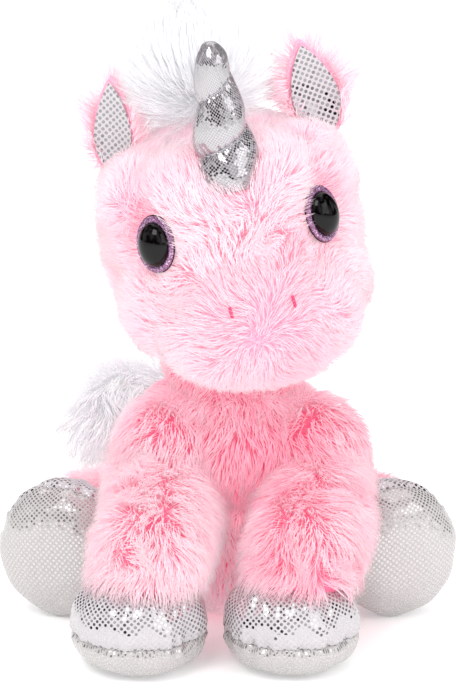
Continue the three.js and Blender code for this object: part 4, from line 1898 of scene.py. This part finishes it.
@dataclass
class Horn:
    """The horn: a stuffed foil cone, drawn in by a thread that winds up it."""

    head: Head
    spot: tuple[float, float, float] = (0, -41, 35)  # where it is sewn to the head, mm
    sunk: float = 3 * MM  # how far its base lies under the pile
    length: float = 61 * MM
    base: float = 16.6 * MM
    tip: float = 6 * MM
    turns: float = 2.6  # of the thread
    lean: float = 9.0  # in degrees
    groove: float = 0.27  # how far the thread draws it in, as a share of its radius
    around: int = 128  # faces round it
    cuts: int = 100  # cuts from its base to its tip
    cloth_around: float = 11.0  # millimetres of cloth to a radian
    thread_radius: float = 0.45 * MM
    thread_steps: int = 260
    thread_sides: int = 8
    matrix: Matrix = field(init=False)

    def __post_init__(self) -> None:
        """Places the horn on the head."""
        lean = Matrix.Rotation(math.radians(self.lean), 4, "X")
        spot = Matrix.Translation(Vector(self.spot) * MM)
        self.matrix = self.head.matrix @ spot @ lean @ Matrix.Translation((0, 0, -self.sunk))

    def radius(self, t: np.ndarray, angle: np.ndarray) -> np.ndarray:
        """The horn's radius at a share of its height and a turn about it.

        Args:
            t: Shares of its height.
            angle: Angles about it.

        Returns:
            Its radius at each.
        """
        taper = self.base + (self.tip - self.base) * t**0.9
        cap = np.sqrt(np.clip(1 - np.clip((t - 0.86) / 0.14, 0.0, 1.0) ** 2, 0.0, 1.0))
        phase = np.mod(t * self.turns - angle / (2 * math.pi), 1.0)
        bulge = 1 - self.groove * (1 - np.sin(np.pi * phase) ** 0.55)
        return taper * bulge * cap

    def build(self) -> None:
        """Makes the cover and the thread."""
        deselect()
        bpy.ops.mesh.primitive_cylinder_add(
            vertices=self.around, radius=1.0, depth=1.0, end_fill_type="TRIFAN"
        )
        cover = bpy.context.object
        cover.name = "horn_foil"
        bpy.ops.object.mode_set(mode="EDIT")
        bpy.ops.mesh.select_mode(type="EDGE")
        bpy.ops.mesh.select_all(action="DESELECT")
        bpy.ops.object.mode_set(mode="OBJECT")
        for edge in cover.data.edges:
            a, b = (cover.data.vertices[i].co.z for i in edge.vertices)
            edge.select = abs(a - b) > 0.5
        bpy.ops.object.mode_set(mode="EDIT")
        bpy.ops.mesh.subdivide(number_cuts=self.cuts)
        bpy.ops.object.mode_set(mode="OBJECT")
        ball = get_points(cover)
        t = np.clip(ball[:, 2] + 0.5, 0, 1)
        angle = np.arctan2(ball[:, 1], ball[:, 0])
        ring = np.minimum(1.0, np.hypot(ball[:, 0], ball[:, 1]))
        rng = np.random.default_rng(71)
        phase = np.mod(t * self.turns - angle / (2 * math.pi), 1.0)
        groove = np.exp(-((np.minimum(phase, 1 - phase) / 0.16) ** 2))
        along = angle * 9 + t * 25
        gathers = sum(np.sin(along * k + rng.random() * 6.28) for k in (1.0, 1.7, 2.6)) / 3
        radius = self.radius(t, angle) + 0.7 * MM * gathers * groove * (1 - 0.5 * t)
        spots = np.column_stack([np.cos(angle), np.sin(angle), t]) * (np.array([12, 12, 60]) * MM)
        radius += 0.35 * MM * Waves(rng, 9 * MM)(spots)[:, 0] * (1 - t)
        reach = radius * ring
        points = np.column_stack([np.cos(angle) * reach, np.sin(angle) * reach, t * self.length])
        wrap_cloth(cover, angle, self.cloth_around, t * self.length / MM)
        set_points(cover, place(points, self.matrix))
        shade_smooth(cover)
        settle(cover, "head", HORN_FOIL, ("horn_cover", "horn_stuffing"))
        self.thread()

    def thread(self) -> None:
        """Winds the thread up the groove."""
        steps, sides = self.thread_steps, self.thread_sides
        t = np.linspace(0.05, 0.93, steps)
        angle = t * self.turns * 2 * math.pi
        radius = self.radius(t, angle) + 0.25 * MM
        centre = np.column_stack([np.cos(angle) * radius, np.sin(angle) * radius, t * self.length])
        ahead = unit(np.gradient(centre, axis=0))
        out = unit(np.column_stack([np.cos(angle), np.sin(angle), np.zeros(steps)]))
        out = unit(out - ahead * (out * ahead).sum(axis=1, keepdims=True))
        beside = np.cross(ahead, out)
        rows = []
        for k in range(sides):
            turn = 2 * math.pi * k / sides
            rows.append(centre + self.thread_radius * (out * math.cos(turn) + beside * math.sin(turn)))
        points = np.stack(rows, axis=1).reshape(-1, 3)
        faces = []
        for start in range(0, (steps - 1) * sides, sides):
            for k in range(sides):
                ahead_k = (k + 1) % sides
                faces.append((start + k, start + ahead_k, start + sides + ahead_k, start + sides + k))
        faces += [tuple(range(sides))[::-1], tuple((steps - 1) * sides + k for k in range(sides))]
        mesh = bpy.data.meshes.new("horn_winding")
        mesh.from_pydata(place(points, self.matrix).tolist(), [], faces)
        mesh.shade_smooth()
        winding = bpy.data.objects.new("horn_winding", mesh)
        bpy.context.scene.collection.objects.link(winding)
        settle(winding, "head", SILVER_THREAD, ("horn_thread",))


@dataclass
class Mane:
    """The mane: an upright silky tuft behind the horn that runs down the back of the head."""

    head: Head
    line: tuple[tuple[float, float, float], ...] = (  # its middle line on the head, mm
        (-4, -8, 71),
        (-4, 1, 74),
        (-3, 16, 69),
        (0, 36, 52),
        (0, 50, 30),
        (0, 57, 4),
        (0, 52, -22),
    )
    thick: tuple[float, ...] = (9, 10, 10, 10, 9, 8, 7)
    rounds: int = 19  # of filling along the line
    pile: Pile = Pile(
        WHITE_PILE,
        length=29 * MM,
        pitch=0.72 * MM,
        width=0.58 * MM,
        height=0.6,
        curl=0.8 * MM,
        clump=6 * MM,
        pull=0.15,
        tousle=0.15,
        wave=40 * MM,
        stations=5,
    )

    def build(self) -> None:
        """Sews the root strip and grows the long pile from it."""
        lumps = []
        for step in np.linspace(0, len(self.line) - 1, self.rounds):
            x, y, z, thick = (
                float(np.interp(step, range(len(self.line)), values))
                for values in (*zip(*self.line, strict=True), self.thick)
            )
            lumps.append(Lump(self.head.at(x, y, z), (thick * MM,) * 3, self.head.turn))
        skin = padded_skin("mane_strip", lumps, voxel=3 * MM, smooth=4, cap=1 * MM)
        settle(skin, "head", WHITE_BACKING, ("mane_tuft",))
        head = self.head
        top = np.array(head.turn.col[2])
        back = np.array(head.turn.col[1])
        across = np.array(head.turn.col[0])

        def comb(points: Points, normals: Points) -> Points:
            """Stands the tuft up on the crown, and lets it fall down the back of the head.

            Args:
                points: Where the pile grows.
                normals: Which way the skin faces there. Not used.

            Returns:
                The way that it lies.
            """
            here = head.local(points) / MM
            crown = np.clip((34 - here[:, 1]) / 40, 0, 1)[:, None]
            inwards = across * (-(here[:, :1] + 4) / 11 - 0.1)
            return crown * (top * 4.0 + inwards) + (1 - crown) * (back * 0.2 - top * 1.3)

        def trim(roots: Points) -> np.ndarray:
            """Cuts the pile shorter down the back of the head.

            Args:
                roots: Where the locks grow.

            Returns:
                Each lock's share of the full length.
            """
            here = head.local(roots) / MM
            return np.clip(1.05 - here[:, 1] / 75, 0.35, 1.0)

        for piece in Coat("mane_pile", self.pile, seed=41).grow(skin, comb, trim):
            settle(piece, "head", WHITE_PILE)


@dataclass
class Tail:
    """The tail: a silky plume that rises from the rump and falls over to the left."""

    line: tuple[tuple[float, float, float], ...] = (
        (-8, 68, 30),
        (-14, 84, 46),
        (-32, 90, 72),
        (-54, 80, 80),
        (-66, 68, 62),
    )
    thick: tuple[float, ...] = (6, 8, 9, 8, 6)
    pile: Pile = Pile(
        WHITE_PILE,
        length=24 * MM,
        pitch=0.95 * MM,
        width=0.5 * MM,
        height=0.5,
        curl=1.2 * MM,
        clump=5 * MM,
        pull=0.28,
        tousle=0.4,
        stations=5,
    )

    def build(self) -> None:
        """Sews the core and grows the long pile from it."""
        spots = [np.array(p) * MM for p in self.line]
        lumps = []
        for i in range(len(spots) - 1):
            for share in (0.0, 0.33, 0.66):
                centre = spots[i] * (1 - share) + spots[i + 1] * share
                size = (self.thick[i] * (1 - share) + self.thick[i + 1] * share) * MM
                lumps.append(Lump(Vector(centre), (size, size, size)))
        skin = padded_skin("tail_core", lumps, voxel=3 * MM, smooth=4, cap=1 * MM)
        settle(skin, "tail", WHITE_BACKING, ("tail_plume",))
        chain = np.array(spots)

        def comb(points: Points, normals: Points) -> Points:
            """Draws the pile along the core and lets it hang.

            Args:
                points: Where the pile grows.
                normals: Which way the skin faces there. Not used.

            Returns:
                The way that it lies.
            """
            owner = np.clip(nearest(chain, points), 0, len(chain) - 2)
            return unit(chain[owner + 1] - chain[owner]) * 1.2 + np.array([0.0, 0.0, -0.3])

        for piece in Coat("tail_pile", self.pile, seed=42).grow(skin, comb):
            settle(piece, "tail", WHITE_PILE)


# ------------------------------------------------------------------------------------------ studio
@dataclass
class Studio:
    """A plain white sweep with soft light, and the camera in front and a little above."""

    target: Vector = field(default_factory=lambda: Vector((0.0, -20 * MM, 128.3 * MM)))
    distance: float = 1.2
    elevation: float = 14.0
    lens: float = 141.3
    lamps: tuple[tuple[str, tuple[float, float, float], float, float], ...] = (  # place, side, watts
        ("key_softbox", (-0.45, -1.0, 1.25), 0.7, 7.5),
        ("fill_softbox", (0.9, -0.9, 0.7), 0.9, 4.0),
        ("top_softbox", (0.0, 0.35, 1.3), 1.0, 4.0),
    )

    def build(self) -> None:
        """Adds the floor, the lights, the white surroundings and the camera."""
        scene = bpy.context.scene
        scene.view_settings.view_transform = "Standard"
        deselect()
        bpy.ops.mesh.primitive_plane_add(size=8.0, location=(0, 0, 0))
        floor = bpy.context.object
        floor.name = "white_floor"
        floor.data.materials.append(self.floor_paper())
        self.surroundings(scene)
        for lamp in self.lamps:
            self.lamp(*lamp)
        self.camera(scene)

    def floor_paper(self) -> bpy.types.Material:
        """Matt white paper, lifted a little so that it burns out to white away from the toy.

        Returns:
            The paper's material.
        """
        paper = bpy.data.materials.new("white backdrop paper")
        paper.use_nodes = True
        shader = paper.node_tree.nodes["Principled BSDF"]
        shader.inputs["Base Color"].default_value = linear("#f8f8f8")
        shader.inputs["Roughness"].default_value = 1.0
        shader.inputs["Emission Color"].default_value = (1, 1, 1, 1)
        shader.inputs["Emission Strength"].default_value = 0.25
        return paper

    def surroundings(self, scene: bpy.types.Scene) -> None:
        """A bright even room, with the dark patches of a studio that only mirrors show.

        Args:
            scene: The scene.
        """
        world = bpy.data.worlds.new("white studio")
        scene.world = world
        world.use_nodes = True
        tree = world.node_tree
        tree.nodes.clear()
        path = add_node(tree, "ShaderNodeLightPath")
        spot = add_node(tree, "ShaderNodeTexCoord")
        patches = add_node(
            tree, "ShaderNodeTexNoise", {"Vector": spot.outputs["Generated"], "Scale": 2.6, "Detail": 1.0}
        )
        ramp = add_node(tree, "ShaderNodeValToRGB", {"Fac": patches.outputs["Fac"]})
        set_ramp(ramp, [(0.42, "#2a2428"), (0.51, "#a3969d"), (0.63, "#f4f2f4")])
        colour = add_node(
            tree,
            "ShaderNodeMix",
            {0: path.outputs["Is Glossy Ray"], 6: (1.0, 1.0, 1.0, 1.0), 7: ramp.outputs["Color"]},
            data_type="RGBA",
        )
        light = add_node(tree, "ShaderNodeBackground", {"Color": colour.outputs[2], "Strength": 1.0})
        sky = add_node(tree, "ShaderNodeBackground", {"Color": (1.0, 1.0, 1.0, 1.0), "Strength": 1.0})
        seen = add_node(
            tree,
            "ShaderNodeMixShader",
            {0: path.outputs["Is Camera Ray"], 1: light.outputs[0], 2: sky.outputs[0]},
        )
        add_node(tree, "ShaderNodeOutputWorld", {"Surface": seen.outputs[0]})

    def lamp(self, name: str, spot: tuple[float, float, float], size: float, power: float) -> None:
        """Adds a softbox aimed at the toy.

        Args:
            name: Its name.
            spot: Where it stands.
            size: Its side.
            power: Its power in watts.
        """
        data = bpy.data.lights.new(name, "AREA")
        data.size = size
        data.energy = power
        lamp = bpy.data.objects.new(name, data)
        lamp.location = spot
        lamp.rotation_euler = (self.target - Vector(spot)).to_track_quat("-Z", "Y").to_euler()
        bpy.context.scene.collection.objects.link(lamp)

    def camera(self, scene: bpy.types.Scene) -> None:
        """Adds the camera.

        Args:
            scene: The scene.
        """
        data = bpy.data.cameras.new("camera")
        data.lens = self.lens
        data.sensor_width = 36.0
        camera = bpy.data.objects.new("camera", data)
        angle = math.radians(self.elevation)
        back = Vector((0.0, -math.cos(angle), math.sin(angle)))
        camera.location = self.target + back * self.distance
        camera.rotation_euler = (-back).to_track_quat("-Z", "Y").to_euler()
        scene.collection.objects.link(camera)
        scene.camera = camera


def front_hoof_matrix(prefix: str) -> Matrix:
    """Where a front hoof stands, from its sole's box.

    Args:
        prefix: The stem of its nodes' names.

    Returns:
        Its matrix, from the hoof's own axes to the frame.
    """
    spot = middle(f"{prefix}_hoof_sole")
    return Matrix.Translation(Vector((spot.x, spot.y, 0.0)))


def hind_hoof_matrix(prefix: str, side: Side, yaw: float = 18.0, pitch: float = 4.0) -> Matrix:
    """Where a hind hoof stands: its sole faces forwards and outwards.

    Args:
        prefix: The stem of its nodes' names.
        side: Which side it is on.
        yaw: How far its sole turns outwards, in degrees.
        pitch: How far its sole tips, in degrees.

    Returns:
        Its matrix, from the hoof's own axes to the frame.
    """
    turn = (
        Matrix.Rotation(math.radians(yaw * side.value), 4, "Z")
        @ Matrix.Rotation(math.radians(-(90 - pitch)), 4, "X")
    )
    axis = turn.to_3x3() @ Vector((0, 0, 1))
    upper = middle(f"{prefix}_hoof_upper")
    spot = upper - axis * (Hoof.seam + Hoof.height) / 2
    return Matrix.Translation(spot) @ turn


def main() -> None:
    """Builds the toy round its frame, part by part, and then the studio."""
    logging.basicConfig(level=logging.INFO, format="%(name)s: %(message)s")
    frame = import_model()
    Torso().build()
    Neck().build()
    for side in Side:
        prefix = f"front_leg_{side.word}"
        matrix = front_hoof_matrix(prefix)
        Leg(prefix, f"{prefix}_lift", 60 + side.value, 29.5 * MM, matrix, bow=6 * MM).build(frame)
        prefix = f"hind_leg_{side.word}"
        matrix = hind_hoof_matrix(prefix, side)
        Leg(prefix, f"{prefix}_spread", 70 + side.value, 26.5 * MM, matrix).build(frame)
    Head().build()
    Tail().build()
    Studio().build()


if __name__ == "__main__":
    main()
